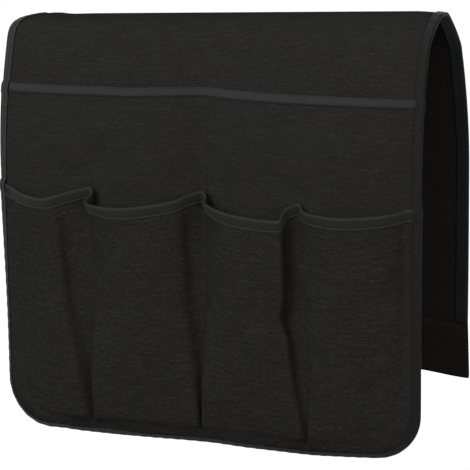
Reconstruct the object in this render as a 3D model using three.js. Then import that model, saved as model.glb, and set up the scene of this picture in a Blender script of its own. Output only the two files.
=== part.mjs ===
// Armrest organizer: a bound sheet of stiff cloth that saddles an armrest. The front flap carries two
// full-depth upper pockets and, over them, one pleated panel that makes four lower pockets. The back
// flap ends in a turned hem with a stiffener in it.
// Millimetres. +X runs along the armrest, to the right of someone who faces the pockets, -Y points
// towards that person and +Z up. The origin is the middle of the flat strip under the ridge.

import * as THREE from 'three';

// The cut sheet and the layers
const sheetWidth = 350;
const frontDrop = 332;
const backDrop = 295;
const sheetThickness = 1.4;
const pocketThickness = 0.8;
const tapeThickness = 0.5;
const threadThickness = 0.5;
const clearance = 0.3;
const cornerRadius = 29;
const bottomNarrowing = 1.6;

// Ridge, shoulders and the planes where the flaps hang plumb
const ridgeRise = 9.6;
const ridgeStripWidth = 12;
const frontHingeY = -40.5;
const frontHingeZ = -21;
const frontHangY = -57.5;
const frontHangZ = -124;
const backHingeY = 42.5;
const backHingeZ = -27.5;
const backHangY = 64.5;
const backHangZ = -125;
const shoulderReach = 10;
const frontReachLeft = 28;
const frontReachRight = 8;
const backReachLeft = 24;
const backReachRight = 4;
const flapLift = 80;
const flapSwingIn = 10;

// Binding tapes and thread
const frontLeafWidth = 7;
const underLeafWidth = 9.5;
const upperRimTapeWidth = 7.4;
const lowerRimTapeWidth = 8.8;
const tapeCrease = 0.3;
const innerCrease = 0.1;
const liftRun = 2;
const threadWidth = 1;
const stitchInset = 1.3;

// Upper pockets: rim height, how far they stand off the sheet and where the divider is sewn
const upperRimZ = -52.6;
const upperRimFall = 2;
const upperDepth = 9;
const upperSwell = 2.2;
const crownPower = 3;
const dividerX = 0;

// Lower pockets: rim line and seams, and how far each pocket stands out and its rim sags
const lowerRimZ = -131.8;
const lowerRimFall = 3.5;
const secondPocketWidth = 95;
const thirdPocketWidth = 82;
const seamFlatWidth = 4;
const lowerSwell = 1.6;
const foldSoftening = 5;
const sagPower = 2.4;
const firstPocketDepth = 12;
const firstPocketSag = 9.5;
const secondPocketDepth = 13.5;
const secondPocketSag = 12;
const thirdPocketDepth = 14.5;
const thirdPocketSag = 14.5;
const fourthPocketDepth = 13;
const fourthPocketSag = 8;

// Back hem and the strip inside it
const hemHeight = 46;
const hemKick = 6;
const hemSewnHeight = 7;
const stiffenerHeight = 36;
const stiffenerThickness = 1.2;

// Where one layer rides over the edge of another: how far off it starts to rise, and over what length
const easeReach = 6;
const easeRun = 5;

// Grid steps
const shoulderSteps = 10;
const drapeSteps = 13;
const cornerSteps = 6;
const plumbSteps = 3;
const plainColumns = 12;
const leastStep = 1.2;

// Sizes that follow from the ones above
const halfWidth = sheetWidth / 2;
const halfSheet = sheetThickness / 2;
const edgeInset = tapeThickness + clearance;
const sideInner = halfWidth - frontLeafWidth - 2 * clearance;
const tapeEnd = sideInner - liftRun;
const upperFloor = halfSheet + clearance;
const rimLift = tapeThickness + clearance;
const frontBottomZ = -frontDrop;
const backBottomZ = -backDrop;
const hemTopZ = backBottomZ + hemHeight;
const cornerX = halfWidth - cornerRadius;
const cornerZ = frontBottomZ + cornerRadius;
const seamXs = [dividerX - secondPocketWidth, dividerX, dividerX + thirdPocketWidth];

// The lower pockets from left to right. Crest is the share of the width at which a pocket stands out
// most, and a higher power makes a sharper fold on that side.
const pockets = [
  { depth: firstPocketDepth, sag: firstPocketSag, crest: 0.57, leftFold: 2.4, rightFold: 2 },
  { depth: secondPocketDepth, sag: secondPocketSag, crest: 0.36, leftFold: 7, rightFold: 2.8 },
  { depth: thirdPocketDepth, sag: thirdPocketSag, crest: 0.6, leftFold: 7, rightFold: 7 },
  { depth: fourthPocketDepth, sag: fourthPocketSag, crest: 0.36, leftFold: 7, rightFold: 3.6 },
];

const cloth = new THREE.MeshStandardMaterial({ color: 0x252523, roughness: 0.95, metalness: 0 });
const tape = new THREE.MeshStandardMaterial({ color: 0x323533, roughness: 0.8, metalness: 0 });
const thread = new THREE.MeshStandardMaterial({ color: 0x2c2e2d, roughness: 0.7, metalness: 0 });
const board = new THREE.MeshStandardMaterial({ color: 0x3a3a3a, roughness: 0.6, metalness: 0 });

function clamp01(value) {
  return Math.min(1, Math.max(0, value));
}

function smooth(value) {
  const t = clamp01(value);
  return t * t * (3 - 2 * t);
}

function steps(from, to, count) {
  return Array.from({ length: count + 1 }, (_, i) => from + ((to - from) * i) / count);
}

// 0 a little before another layer's edge is reached, 1 from there on.
function eased(beyond) {
  return smooth((beyond + easeReach) / easeRun);
}

// Sorted values, without those that lie too close to the one before.
function spaced(values) {
  const sorted = [...values].sort((a, b) => a - b);
  return sorted.filter((value, i) => i === 0 || value - sorted[i - 1] > leastStep);
}

// How far a piece must end short of a hinge line, which runs along the sheet's outer face, so that the
// flap can lift and swing in without pinching it. Its reach is measured from the middle of the sheet.
function hingeRoom(outerReach, innerReach) {
  const lifting = (outerReach - halfSheet) * Math.tan(THREE.MathUtils.degToRad(flapLift / 2));
  const swinging = (innerReach + halfSheet) * Math.tan(THREE.MathUtils.degToRad(flapSwingIn / 2));
  return Math.max(lifting, swinging) + clearance / 2;
}

// One closed skin from an outer and an inner grid of points, joined along their four borders.
function slab(outer, inner) {
  const rows = outer.length;
  const columns = outer[0].length;
  const points = [...outer.flat(), ...inner.flat()];
  const at = (side, i, j) => (side * rows + i) * columns + j;
  const index = [];
  const quad = (a, b, c, d) => index.push(a, b, c, a, c, d);
  for (let i = 0; i + 1 < rows; i++) {
    for (let j = 0; j + 1 < columns; j++) {
      quad(at(0, i, j), at(0, i + 1, j), at(0, i + 1, j + 1), at(0, i, j + 1));
      quad(at(1, i, j), at(1, i, j + 1), at(1, i + 1, j + 1), at(1, i + 1, j));
    }
    quad(at(0, i + 1, 0), at(0, i, 0), at(1, i, 0), at(1, i + 1, 0));
    const end = columns - 1;
    quad(at(0, i, end), at(0, i + 1, end), at(1, i + 1, end), at(1, i, end));
  }
  for (let j = 0; j + 1 < columns; j++) {
    quad(at(0, 0, j), at(0, 0, j + 1), at(1, 0, j + 1), at(1, 0, j));
    const end = rows - 1;
    quad(at(0, end, j + 1), at(0, end, j), at(1, end, j), at(1, end, j + 1));
  }
  if (signedVolume(points, index) < 0) index.reverse();
  const geometry = new THREE.BufferGeometry().setFromPoints(points);
  geometry.setIndex(index);
  geometry.computeVertexNormals();
  return geometry;
}

function signedVolume(points, index) {
  let sum = 0;
  for (let i = 0; i < index.length; i += 3) {
    const [a, b, c] = [points[index[i]], points[index[i + 1]], points[index[i + 2]]];
    sum += a.dot(b.clone().cross(c)) / 6;
  }
  return sum;
}

function mesh(name, geometry, material) {
  const made = new THREE.Mesh(geometry, material);
  made.name = name;
  return made;
}

// The sheet over one shoulder (side -1 front, 1 back): a cubic from the ridge strip (t 0) to the hinge
// line (t 1). Its reach along the level differs between the left and right ends, so the left end is
// flat on top and the right end peaked.
function onShoulder(side, t, x, h) {
  const across = x / sheetWidth + 0.5;
  const front = side < 0;
  const reachLeft = front ? frontReachLeft : backReachLeft;
  const reachRight = front ? frontReachRight : backReachRight;
  const reach = reachLeft + (reachRight - reachLeft) * across;
  const hinge = hingeFrame(side);
  const ridgeZ = (ridgeRise * x) / sheetWidth + halfSheet;
  const strip = side * (ridgeStripWidth / 2);
  const curve = new THREE.CubicBezierCurve(
    new THREE.Vector2(strip, ridgeZ),
    new THREE.Vector2(strip + side * reach, ridgeZ),
    new THREE.Vector2(hinge.y - hinge.tangent.x * shoulderReach, hinge.z - hinge.tangent.y * shoulderReach),
    new THREE.Vector2(hinge.y, hinge.z),
  );
  const point = curve.getPoint(t);
  const run = curve.getTangent(t);
  return new THREE.Vector3(x, point.x - side * run.y * h, point.y + side * run.x * h);
}

// Each hinge line, with the sheet's downward direction there.
function hingeFrame(side) {
  const y = side < 0 ? frontHingeY : backHingeY;
  const z = side < 0 ? frontHingeZ : backHingeZ;
  const { slope } = flapLine(side, z);
  return { y, z, tangent: new THREE.Vector2(-slope, -1).normalize() };
}

// Middle of a flap's sheet at height z: plumb low down, and bending back towards its hinge above.
function flapLine(side, z) {
  const hangY = side < 0 ? frontHangY : backHangY;
  const hangZ = side < 0 ? frontHangZ : backHangZ;
  const hingeY = side < 0 ? frontHingeY : backHingeY;
  const hingeZ = side < 0 ? frontHingeZ : backHingeZ;
  const bend = Math.max(0, z - hangZ);
  const curl = (hingeY - hangY) / (hingeZ - hangZ) ** 2;
  const kick = side > 0 ? (hemKick * Math.max(0, hemTopZ - z)) / hemHeight : 0;
  const kickSlope = side > 0 && z < hemTopZ ? -hemKick / hemHeight : 0;
  return { y: hangY + curl * bend * bend + kick, slope: 2 * curl * bend + kickSlope };
}

// A point of a flap at cut place x, height z, and h outward from the middle of its sheet.
function onFlap(side, x, z, h) {
  const { y, slope } = flapLine(side, z);
  const length = Math.hypot(1, slope);
  const drop = side < 0 ? frontDrop : backDrop;
  const narrowed = x * (1 + (bottomNarrowing / halfWidth) * (z / drop));
  return new THREE.Vector3(narrowed, y + (side * h) / length, z - (side * h * slope) / length);
}

// Height where a piece of the flap starts, short of the hinge line by its room there.
function flapStart(side, room) {
  const hinge = hingeFrame(side);
  return hinge.z + hinge.tangent.y * room;
}

// Lower outline of the front flap at cut place x, moved inward by inset.
function outlineZ(x, inset) {
  const beyond = Math.abs(x) - cornerX;
  if (beyond <= 0) return frontBottomZ + inset;
  const radius = cornerRadius - inset;
  return cornerZ - Math.sqrt(Math.max(0, radius * radius - beyond * beyond));
}

// Columns of the front flap's sheets: close at the round corners, the tape's edge and the divider.
function frontColumns() {
  const radius = cornerRadius - edgeInset;
  const corner = steps(0, Math.PI / 2, cornerSteps).map((turn) => cornerX + radius * Math.sin(turn));
  const sided = [...corner, sideInner, tapeEnd];
  const middle = steps(-cornerX, cornerX, plainColumns);
  const seam = [dividerX - seamFlatWidth / 2, dividerX + seamFlatWidth / 2];
  return spaced([...sided, ...sided.map((x) => -x), ...middle, ...seam]);
}

// Heights of the side stations of the front flap, from its start down to the round corners.
function sideHeights(startZ) {
  const rims = [upperRimLine(halfWidth), lowerRimZ, lowerRimZ - lowerRimFall];
  const nearRims = rims.flatMap((rim) => [rim + 6, rim + 3.5, rim + 1]);
  const drape = steps(startZ, frontHangZ, drapeSteps);
  return spaced([...drape, ...nearRims, cornerZ]).reverse();
}

// How much of a pocket layer lies under the side tape at height z: none above its rim, all below it.
function caught(z, rimZ) {
  return eased(rimZ - z);
}

// Room under the front leaf of the edge tape, from the middle of the sheet.
function leafFloor(x, z) {
  const layers = caught(z, upperRimLine(x)) + caught(z, lowerRimLine(x));
  return upperFloor + layers * (pocketThickness + clearance);
}

function lowerRimLine(x) {
  return lowerRimZ - lowerRimFall * (x / sheetWidth + 0.5);
}

// Section of a tape folded over an edge, as outer and inner lines of [inward, height] from the fold:
// the front leaf, the fold and the under leaf.
function foldSection(frontWidth, underWidth, frontHeight, underHeight) {
  const front = frontHeight + tapeThickness;
  const under = underHeight + tapeThickness;
  const crease = tapeCrease;
  return {
    outer: [
      [frontWidth, front], [crease, front], [0, front - crease],
      [0, crease - under], [crease, -under], [underWidth, -under],
    ],
    inner: [
      [frontWidth, frontHeight], [tapeThickness, frontHeight], [tapeThickness, frontHeight - innerCrease],
      [tapeThickness, innerCrease - underHeight], [tapeThickness, -underHeight], [underWidth, -underHeight],
    ],
  };
}

// A folded tape along stations, each with its section and a place function (inward, height).
function foldedTape(stations) {
  const grid = (line) => stations.map(({ section, place }) => section[line].map(([a, h]) => place(a, h)));
  return slab(grid('outer'), grid('inner'));
}

// A flat bead of thread along stations, each a place function (across, height).
function bead(stations) {
  const grid = (h) => stations.map((place) => [place(-threadWidth / 2, h), place(threadWidth / 2, h)]);
  return slab(grid(threadThickness), grid(0));
}

// Saddle
const saddleFold = foldSection(frontLeafWidth, underLeafWidth, upperFloor, upperFloor);
const tapeTop = upperFloor + tapeThickness;
const beadTop = tapeTop + clearance + threadThickness;
const sheetRoom = hingeRoom(halfSheet, halfSheet);
const bindingRoom = hingeRoom(tapeTop, tapeTop);
const beadRoom = hingeRoom(beadTop, 0);

// Stations across the saddle from the front hinge to the back hinge, short of both by the room there.
function saddleStations(room) {
  const end = 1 - room / (3 * shoulderReach);
  const half = steps(0, end, shoulderSteps);
  const front = half.map((t) => (x, h) => onShoulder(-1, t, x, h)).reverse();
  const back = half.map((t) => (x, h) => onShoulder(1, t, x, h));
  return [...front, ...back];
}

function saddlePanel() {
  const inner = halfWidth - edgeInset;
  const columns = steps(-inner, inner, plainColumns);
  const grid = (h) => saddleStations(sheetRoom).map((place) => columns.map((x) => place(x, h)));
  return slab(grid(halfSheet), grid(-halfSheet));
}

function saddleBinding(side) {
  const stations = saddleStations(bindingRoom).map((place) => ({
    section: saddleFold,
    place: (a, h) => place(side * (halfWidth - a), h),
  }));
  return foldedTape(stations);
}

function saddleStitch(side) {
  const line = side * (halfWidth - frontLeafWidth + stitchInset);
  const stations = saddleStations(beadRoom);
  return bead(stations.map((place) => (a, h) => place(line + a, tapeTop + clearance + h)));
}

// Front flap's sheet
function frontPanel() {
  const columns = frontColumns();
  const startZ = flapStart(-1, sheetRoom);
  const heights = steps(startZ, frontHangZ, drapeSteps);
  const place = (row, x, h) => {
    if (row < heights.length) return onFlap(-1, x, heights[row], h);
    const share = (row - heights.length + 1) / plumbSteps;
    const bottom = outlineZ(x, edgeInset);
    return onFlap(-1, x, frontHangZ + (bottom - frontHangZ) * share, h);
  };
  const rows = Array.from({ length: heights.length + plumbSteps }, (_, row) => row);
  const grid = (h) => rows.map((row) => columns.map((x) => place(row, x, h)));
  return slab(grid(halfSheet), grid(-halfSheet));
}

// The front flap's outline from the left hinge end, down, along the bottom and up to the right hinge
// end, as places on the outer edge with their inward direction.
function frontEdge(startZ) {
  const heights = sideHeights(startZ);
  const turns = steps(0, Math.PI / 2, cornerSteps).slice(1);
  const left = heights.map((z) => ({ x: -halfWidth, z, inX: 1, inZ: 0 }));
  const leftCorner = turns.map((turn) => {
    const inX = Math.cos(turn);
    const inZ = Math.sin(turn);
    return { x: -cornerX - cornerRadius * inX, z: cornerZ - cornerRadius * inZ, inX, inZ };
  });
  const bottom = steps(-cornerX, cornerX, plainColumns).slice(1, -1);
  const bottomEdge = bottom.map((x) => ({ x, z: frontBottomZ, inX: 0, inZ: 1 }));
  const mirrored = [...left, ...leftCorner].reverse();
  const right = mirrored.map((edge) => ({ ...edge, x: -edge.x, inX: -edge.inX }));
  return [...left, ...leftCorner, ...bottomEdge, ...right];
}

function frontBinding() {
  const stations = frontEdge(flapStart(-1, bindingRoom)).map(({ x, z, inX, inZ }) => ({
    section: foldSection(frontLeafWidth, underLeafWidth, leafFloor(x, z), upperFloor),
    place: (a, h) => onFlap(-1, x + a * inX, z + a * inZ, h),
  }));
  return foldedTape(stations);
}

function frontStitch() {
  const stations = frontEdge(flapStart(-1, beadRoom)).map(({ x, z, inX, inZ }) => (across, h) => {
    const a = frontLeafWidth - stitchInset + across;
    const top = leafFloor(x, z) + tapeThickness + clearance;
    return onFlap(-1, x + a * inX, z + a * inZ, top + h);
  });
  return bead(stations);
}

// Upper pockets
function upperRimLine(x) {
  return upperRimZ - (upperRimFall * Math.abs(x - dividerX)) / halfWidth;
}

// 0 where the upper panel is sewn down (the divider and the side tapes), 1 midway between.
function upperCrown(x) {
  const from = Math.abs(x - dividerX) - seamFlatWidth / 2;
  const span = tapeEnd - seamFlatWidth / 2 - Math.sign(x - dividerX) * dividerX;
  return 1 - Math.abs(2 * clamp01(from / span) - 1) ** crownPower;
}

// Height of the upper panel's inner face over the middle of the sheet.
function upperInner(x, z) {
  const rim = upperRimLine(x);
  const share = clamp01((z - footZ(x)) / (rim - footZ(x)));
  const swell = 1 - (1 - share) ** upperSwell;
  const underTape = rim - upperRimTapeWidth;
  const lift = rimLift * eased(z - underTape) * smooth((sideInner - Math.abs(x)) / liftRun);
  return upperFloor + lift + upperDepth * upperCrown(x) * swell;
}

// Height of the top of the bottom tape's front leaf at cut place x: pocket panels lie flat below it.
function footZ(x) {
  return outlineZ(x, frontLeafWidth + 2 * clearance);
}

// Depth below the rim, at cut place x, of row i of a pocket panel: shares of the way to the foot, then
// the lower edge itself.
function panelDepth(shares, i, rim, x) {
  if (i === shares.length) return rim - outlineZ(x, edgeInset);
  return (rim - footZ(x)) * shares[i];
}

function upperPanel() {
  const shares = [0, 0.015, 0.03, 0.05, 0.09, 0.14, 0.2, 0.26, 0.4, 0.55, 0.7, 0.85, 1];
  const place = (i, x, h) => {
    const rim = upperRimLine(x);
    const z = rim - panelDepth(shares, i, rim, x);
    return onFlap(-1, x, z, upperInner(x, z) + h);
  };
  const columns = frontColumns();
  const rows = [...shares.keys(), shares.length];
  const grid = (h) => rows.map((i) => columns.map((x) => place(i, x, h)));
  return slab(grid(pocketThickness), grid(0));
}

function upperRimTape() {
  const half = pocketThickness / 2 + clearance;
  const section = foldSection(upperRimTapeWidth, upperRimTapeWidth, half, half);
  const columns = frontColumns().filter((x) => Math.abs(x) <= tapeEnd);
  const stations = columns.map((x) => ({
    section,
    place: (a, h) => {
      const z = upperRimLine(x) + edgeInset - a;
      return onFlap(-1, x, z, upperInner(x, Math.min(z, upperRimLine(x))) + pocketThickness / 2 + h);
    },
  }));
  return foldedTape(stations);
}

function dividerStitch() {
  const top = upperRimLine(dividerX) - upperRimTapeWidth - clearance;
  const bottom = lowerRimLine(dividerX) + edgeInset + 4 * clearance;
  return bead(steps(top, bottom, drapeSteps).map((z) => (a, h) => {
    const floor = upperInner(dividerX, z) + pocketThickness + clearance;
    return onFlap(-1, dividerX + a, z, floor + h);
  }));
}

// Lower pockets: one pleated panel. Its columns run straight down; across, each pocket swells from one
// sewn line to the next, and falls off on either side of its crest as a power of the distance.
const pocketShares = [-1, -0.97, -0.9, -0.78, -0.6, -0.35, 0, 0.35, 0.6, 0.78, 0.9, 0.97, 1];

function pocketEdges(i) {
  const left = i === 0 ? -tapeEnd : seamXs[i - 1] + seamFlatWidth / 2;
  const right = i === pockets.length - 1 ? tapeEnd : seamXs[i] - seamFlatWidth / 2;
  return { left, right, crestX: left + (right - left) * pockets[i].crest };
}

// The panel's columns, each with its place x and, inside a pocket, its share from crest to sewn line.
function pleatColumns() {
  const outerX = halfWidth - edgeInset;
  const slot = [outerX, (outerX + sideInner) / 2, sideInner];
  const flat = (x) => ({ x, pocket: null, share: 1 });
  const swelling = pockets.flatMap((pocket, i) => {
    const { left, right, crestX } = pocketEdges(i);
    return pocketShares.map((share) => {
      const reach = share < 0 ? crestX - left : right - crestX;
      return { x: crestX + share * reach, pocket, share };
    });
  });
  return [...slot.map((x) => flat(-x)), ...swelling, ...slot.map(flat).reverse()];
}

// Fall of the rim below the line through the sewn points.
function rimDrop({ x, pocket }) {
  if (!pocket) return 0;
  const { left, right } = pocketEdges(pockets.indexOf(pocket));
  const place = clamp01((x - left) / (right - left)) ** (Math.log(0.5) / Math.log(pocket.crest));
  return pocket.sag * (1 - Math.abs(2 * place - 1) ** sagPower);
}

// One crosswise line of the panel's middle, at a depth below the rim that may differ by column, with
// the direction out of the panel at each point.
function pleatLine(columns, depthOf) {
  const line = columns.map((column, k) => {
    const { x, pocket, share } = column;
    const rim = lowerRimLine(x) - rimDrop(column);
    const z = rim - depthOf(k);
    const open = clamp01((z - footZ(x)) / (rim - footZ(x)));
    const swell = 1 - (1 - open) ** lowerSwell;
    const middle = upperInner(x, z) + 1.5 * pocketThickness + clearance;
    if (!pocket) return { x, z, h: middle };
    const fold = (share < 0 ? pocket.leftFold : pocket.rightFold) + foldSoftening * (1 - open);
    const rise = pocket.depth * swell * (1 - Math.abs(share) ** fold);
    const lift = rimLift * eased(lowerRimTapeWidth - depthOf(k));
    return { x, z, h: middle + lift + rise };
  });
  return line.map((point, k) => {
    const before = line[Math.max(0, k - 1)];
    const after = line[Math.min(line.length - 1, k + 1)];
    const out = new THREE.Vector2(before.h - after.h, after.x - before.x).normalize();
    return { ...point, out };
  });
}

function onPleat({ x, z, h, out }, offset) {
  return onFlap(-1, x + out.x * offset, z, h + out.y * offset);
}

function lowerPanel() {
  const columns = pleatColumns();
  const shares = [0, 0.05, 0.15, 0.3, 0.48, 0.66, 0.84, 1];
  const rows = [...shares.keys(), shares.length];
  const depth = (i, column) => panelDepth(shares, i, lowerRimLine(column.x) - rimDrop(column), column.x);
  const grid = (offset) => rows.map((i) => {
    const line = pleatLine(columns, (k) => depth(i, columns[k]));
    return line.map((point) => onPleat(point, offset));
  });
  return slab(grid(pocketThickness / 2), grid(-pocketThickness / 2));
}

function lowerRimTape() {
  const half = pocketThickness / 2 + clearance;
  const section = foldSection(lowerRimTapeWidth, lowerRimTapeWidth, half, half);
  const columns = pleatColumns().filter(({ pocket }) => pocket);
  const lineAt = (a) => pleatLine(columns, () => a - edgeInset);
  const grid = (side) => {
    const across = section[side].map(([a, h]) => lineAt(a).map((point) => onPleat(point, h)));
    return columns.map((_, k) => across.map((row) => row[k]));
  };
  return slab(grid('outer'), grid('inner'));
}

function pocketStitch(seamX) {
  const top = lowerRimLine(seamX) - lowerRimTapeWidth - clearance;
  const bottom = frontBottomZ + frontLeafWidth + 2 * clearance;
  return bead(steps(top, bottom, drapeSteps).map((z) => (a, h) => {
    const lift = rimLift * eased(z - lowerRimLine(seamX) + lowerRimTapeWidth);
    const floor = upperInner(seamX, z) + 2 * (pocketThickness + clearance) + lift;
    return onFlap(-1, seamX + a, z, floor + h);
  }));
}

// Back flap: the sheet runs down to the hem's fold, turns in and up, and is sewn to itself again
const channelRadius = (stiffenerThickness + 2 * clearance + sheetThickness) / 2;

function backHalfWidth(z) {
  return z > hemTopZ + clearance ? halfWidth - edgeInset : halfWidth;
}

function backPanel() {
  const startZ = flapStart(1, sheetRoom);
  const foldZ = backBottomZ + channelRadius;
  const down = [...steps(startZ, backHangZ, drapeSteps), hemTopZ + 2 * clearance, hemTopZ, foldZ];
  const columns = steps(-1, 1, plainColumns);
  const place = (z, h) => columns.map((share) => onFlap(1, share * backHalfWidth(z), z, h));
  const turn = steps(0, Math.PI, 6).slice(1).map((angle) => (h) => {
    const radius = channelRadius + h;
    const sideways = radius * Math.cos(angle);
    const upwards = -radius * Math.sin(angle);
    return place(foldZ, 0).map((p) => hemFrame(p.x, foldZ, sideways, upwards));
  });
  const gap = [foldZ + stiffenerHeight, hemTopZ - hemSewnHeight / 2, hemTopZ];
  const up = gap.map((z, i) => (h) => {
    const inward = i === 0 ? 2 * channelRadius : sheetThickness + clearance;
    return place(z, -inward - h);
  });
  const rows = [...down.map((z) => (h) => place(z, h)), ...turn, ...up];
  return slab(rows.map((row) => row(halfSheet)), rows.map((row) => row(-halfSheet)));
}

// A point in the hem's own frame: out from the middle of the channel and up along the flap.
function hemFrame(x, z, out, up) {
  const { y, slope } = flapLine(1, z);
  const length = Math.hypot(1, slope);
  const centreOut = out - channelRadius;
  return new THREE.Vector3(
    x,
    y + (centreOut + up * slope) / length,
    z + (up - centreOut * slope) / length,
  );
}

function backBinding(side) {
  const startZ = flapStart(1, bindingRoom);
  const heights = [...steps(startZ, backHangZ, drapeSteps), hemTopZ + 4 * clearance];
  return foldedTape(heights.map((z) => ({
    section: saddleFold,
    place: (a, h) => onFlap(1, side * (halfWidth - a), z, h),
  })));
}

function backStitch(side) {
  const startZ = flapStart(1, beadRoom);
  const line = side * (halfWidth - frontLeafWidth + stitchInset);
  const heights = [...steps(startZ, backHangZ, drapeSteps), hemTopZ + 4 * clearance];
  return bead(heights.map((z) => (a, h) => onFlap(1, line + a, z, tapeTop + clearance + h)));
}

function hemStiffener() {
  const reach = halfWidth - frontLeafWidth;
  const foldZ = backBottomZ + channelRadius;
  const grid = (out) => [0, stiffenerHeight - clearance].map((up) => (
    steps(-reach, reach, plainColumns).map((x) => hemFrame(x, foldZ, out, up))
  ));
  return slab(grid(stiffenerThickness / 2), grid(-stiffenerThickness / 2));
}

function hemStitch() {
  const z = hemTopZ - hemSewnHeight / 4;
  const floor = -(sheetThickness + clearance) - halfSheet - clearance;
  const reach = halfWidth - clearance;
  return bead(steps(-reach, reach, plainColumns).map((x) => (a, h) => onFlap(1, x, z + a, floor - h)));
}

const saddle = new THREE.Group();
saddle.add(
  mesh('saddle_panel', saddlePanel(), cloth),
  mesh('saddle_binding_left', saddleBinding(-1), tape),
  mesh('saddle_binding_right', saddleBinding(1), tape),
  mesh('saddle_stitch_left', saddleStitch(-1), thread),
  mesh('saddle_stitch_right', saddleStitch(1), thread),
);

const frontFlap = new THREE.Group();
frontFlap.add(
  mesh('front_panel', frontPanel(), cloth),
  mesh('front_edge_binding', frontBinding(), tape),
  mesh('front_edge_stitch', frontStitch(), thread),
  mesh('upper_pocket_panel', upperPanel(), cloth),
  mesh('upper_rim_tape', upperRimTape(), tape),
  mesh('upper_divider_stitch', dividerStitch(), thread),
  mesh('lower_pocket_panel', lowerPanel(), cloth),
  mesh('lower_rim_tape', lowerRimTape(), tape),
);
seamXs.forEach((seamX, i) => {
  frontFlap.add(mesh(`pocket_stitch_${i + 1}`, pocketStitch(seamX), thread));
});

const backFlap = new THREE.Group();
backFlap.add(
  mesh('back_panel', backPanel(), cloth),
  mesh('back_binding_left', backBinding(-1), tape),
  mesh('back_binding_right', backBinding(1), tape),
  mesh('back_stitch_left', backStitch(-1), thread),
  mesh('back_stitch_right', backStitch(1), thread),
  mesh('hem_stiffener', hemStiffener(), board),
  mesh('hem_stitch', hemStitch(), thread),
);

const organizer = new THREE.Group();
organizer.add(saddle, frontFlap, backFlap);

export default organizer;
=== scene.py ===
"""Armrest organizer: a cloth caddy with two upper and four lower pockets, dressed for rendering.

Sizes are in millimetres, as a sewing pattern has them, and meshes are made in metres. Places on a flap
are given as x across the cloth, z down it and h outward from the middle of the body sheet.
"""
import logging
import math
from dataclasses import dataclass, field
from enum import Enum, IntEnum
from typing import Callable, Sequence

import bpy
import numpy as np
from mathutils import Matrix, Vector


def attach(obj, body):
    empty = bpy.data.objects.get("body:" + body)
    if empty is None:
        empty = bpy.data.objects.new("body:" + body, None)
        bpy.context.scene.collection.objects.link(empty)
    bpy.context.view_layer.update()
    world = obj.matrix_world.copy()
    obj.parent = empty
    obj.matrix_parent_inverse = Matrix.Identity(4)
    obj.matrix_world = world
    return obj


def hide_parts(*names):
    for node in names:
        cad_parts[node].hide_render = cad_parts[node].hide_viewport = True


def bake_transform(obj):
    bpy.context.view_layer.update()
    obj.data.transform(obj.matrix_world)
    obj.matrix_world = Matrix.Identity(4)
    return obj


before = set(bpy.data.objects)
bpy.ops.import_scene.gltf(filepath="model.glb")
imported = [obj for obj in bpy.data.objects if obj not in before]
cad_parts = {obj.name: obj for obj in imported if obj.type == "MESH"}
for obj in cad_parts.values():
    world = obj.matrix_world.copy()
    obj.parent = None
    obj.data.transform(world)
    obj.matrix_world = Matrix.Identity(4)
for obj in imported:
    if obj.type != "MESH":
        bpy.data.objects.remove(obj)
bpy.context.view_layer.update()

MM = 0.001
CLOTH_MAP = "cloth"

log = logging.getLogger("organizer")

Grid = np.ndarray
Pair = tuple[float, float]
Triple = tuple[float, float, float]
Line = tuple[Pair, ...]
Place = Callable[[np.ndarray, np.ndarray], np.ndarray]
Station = tuple[Place, float, float]


class Side(IntEnum):
    """The two sides of the arm that the sheet hangs on, as the sign of y."""

    FRONT = -1
    BACK = 1


class End(IntEnum):
    """The two ends of the sheet across its width, as the sign of x."""

    LEFT = -1
    RIGHT = 1


class Slot(Enum):
    """The record's material slots."""

    CLOTH = "cloth"
    TAPE = "tape"
    THREAD = "thread"
    BOARD = "board"


# Small mathematics


def smooth(value: np.ndarray | float) -> np.ndarray:
    """Smooth step from 0 to 1 while value goes from 0 to 1."""
    t = np.clip(value, 0.0, 1.0)
    return t * t * (3.0 - 2.0 * t)


def fade(value: np.ndarray | float, start: np.ndarray | float, end: np.ndarray | float) -> np.ndarray:
    """Smooth step from 0 to 1 while value goes from start to end."""
    return smooth((value - start) / (end - start))


def between(levels: Sequence[float], values: Sequence[float], at: np.ndarray | float) -> np.ndarray:
    """A smooth line through values, without overshoot between them.

    Args:
        levels: Places of the values, in rising order.
        values: What the line goes through.
        at: Places to read it at.

    Returns:
        The line's values at those places.
    """
    x = np.asarray(levels, float)
    y = np.asarray(values, float)
    step = np.diff(x)
    rise = np.diff(y) / step
    slope = np.zeros_like(y)
    same = rise[:-1] * rise[1:] > 0
    slope[1:-1] = np.where(same, 2 * rise[:-1] * rise[1:] / np.where(same, rise[:-1] + rise[1:], 1), 0)
    slope[0], slope[-1] = rise[0], rise[-1]
    place = np.clip(np.asarray(at, float), x[0], x[-1])
    i = np.clip(np.searchsorted(x, place) - 1, 0, len(step) - 1)
    t = (place - x[i]) / step[i]
    bend = slope[i] * t * (1 - t) ** 2 - slope[i + 1] * t * t * (1 - t)
    return y[i] * (1 + 2 * t) * (1 - t) ** 2 + y[i + 1] * t * t * (3 - 2 * t) + step[i] * bend


def read(line: Line, at: np.ndarray | float) -> np.ndarray:
    """A smooth line through (place, value) pairs in rising order, read at places."""
    places, values = zip(*line)
    return between(places, values, at)


def bell(x: np.ndarray) -> np.ndarray:
    """A bump of height 1 at 0 that dies away on both sides."""
    return np.exp(-(x**2))


def unit(vectors: np.ndarray) -> np.ndarray:
    """Vectors at length 1."""
    return vectors / np.maximum(np.linalg.norm(vectors, axis=-1, keepdims=True), 1e-9)


def stacked(*parts: np.ndarray | float) -> Grid:
    """Coordinates broadcast together and joined along a new last axis."""
    return np.stack(np.broadcast_arrays(*parts), -1)


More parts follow.
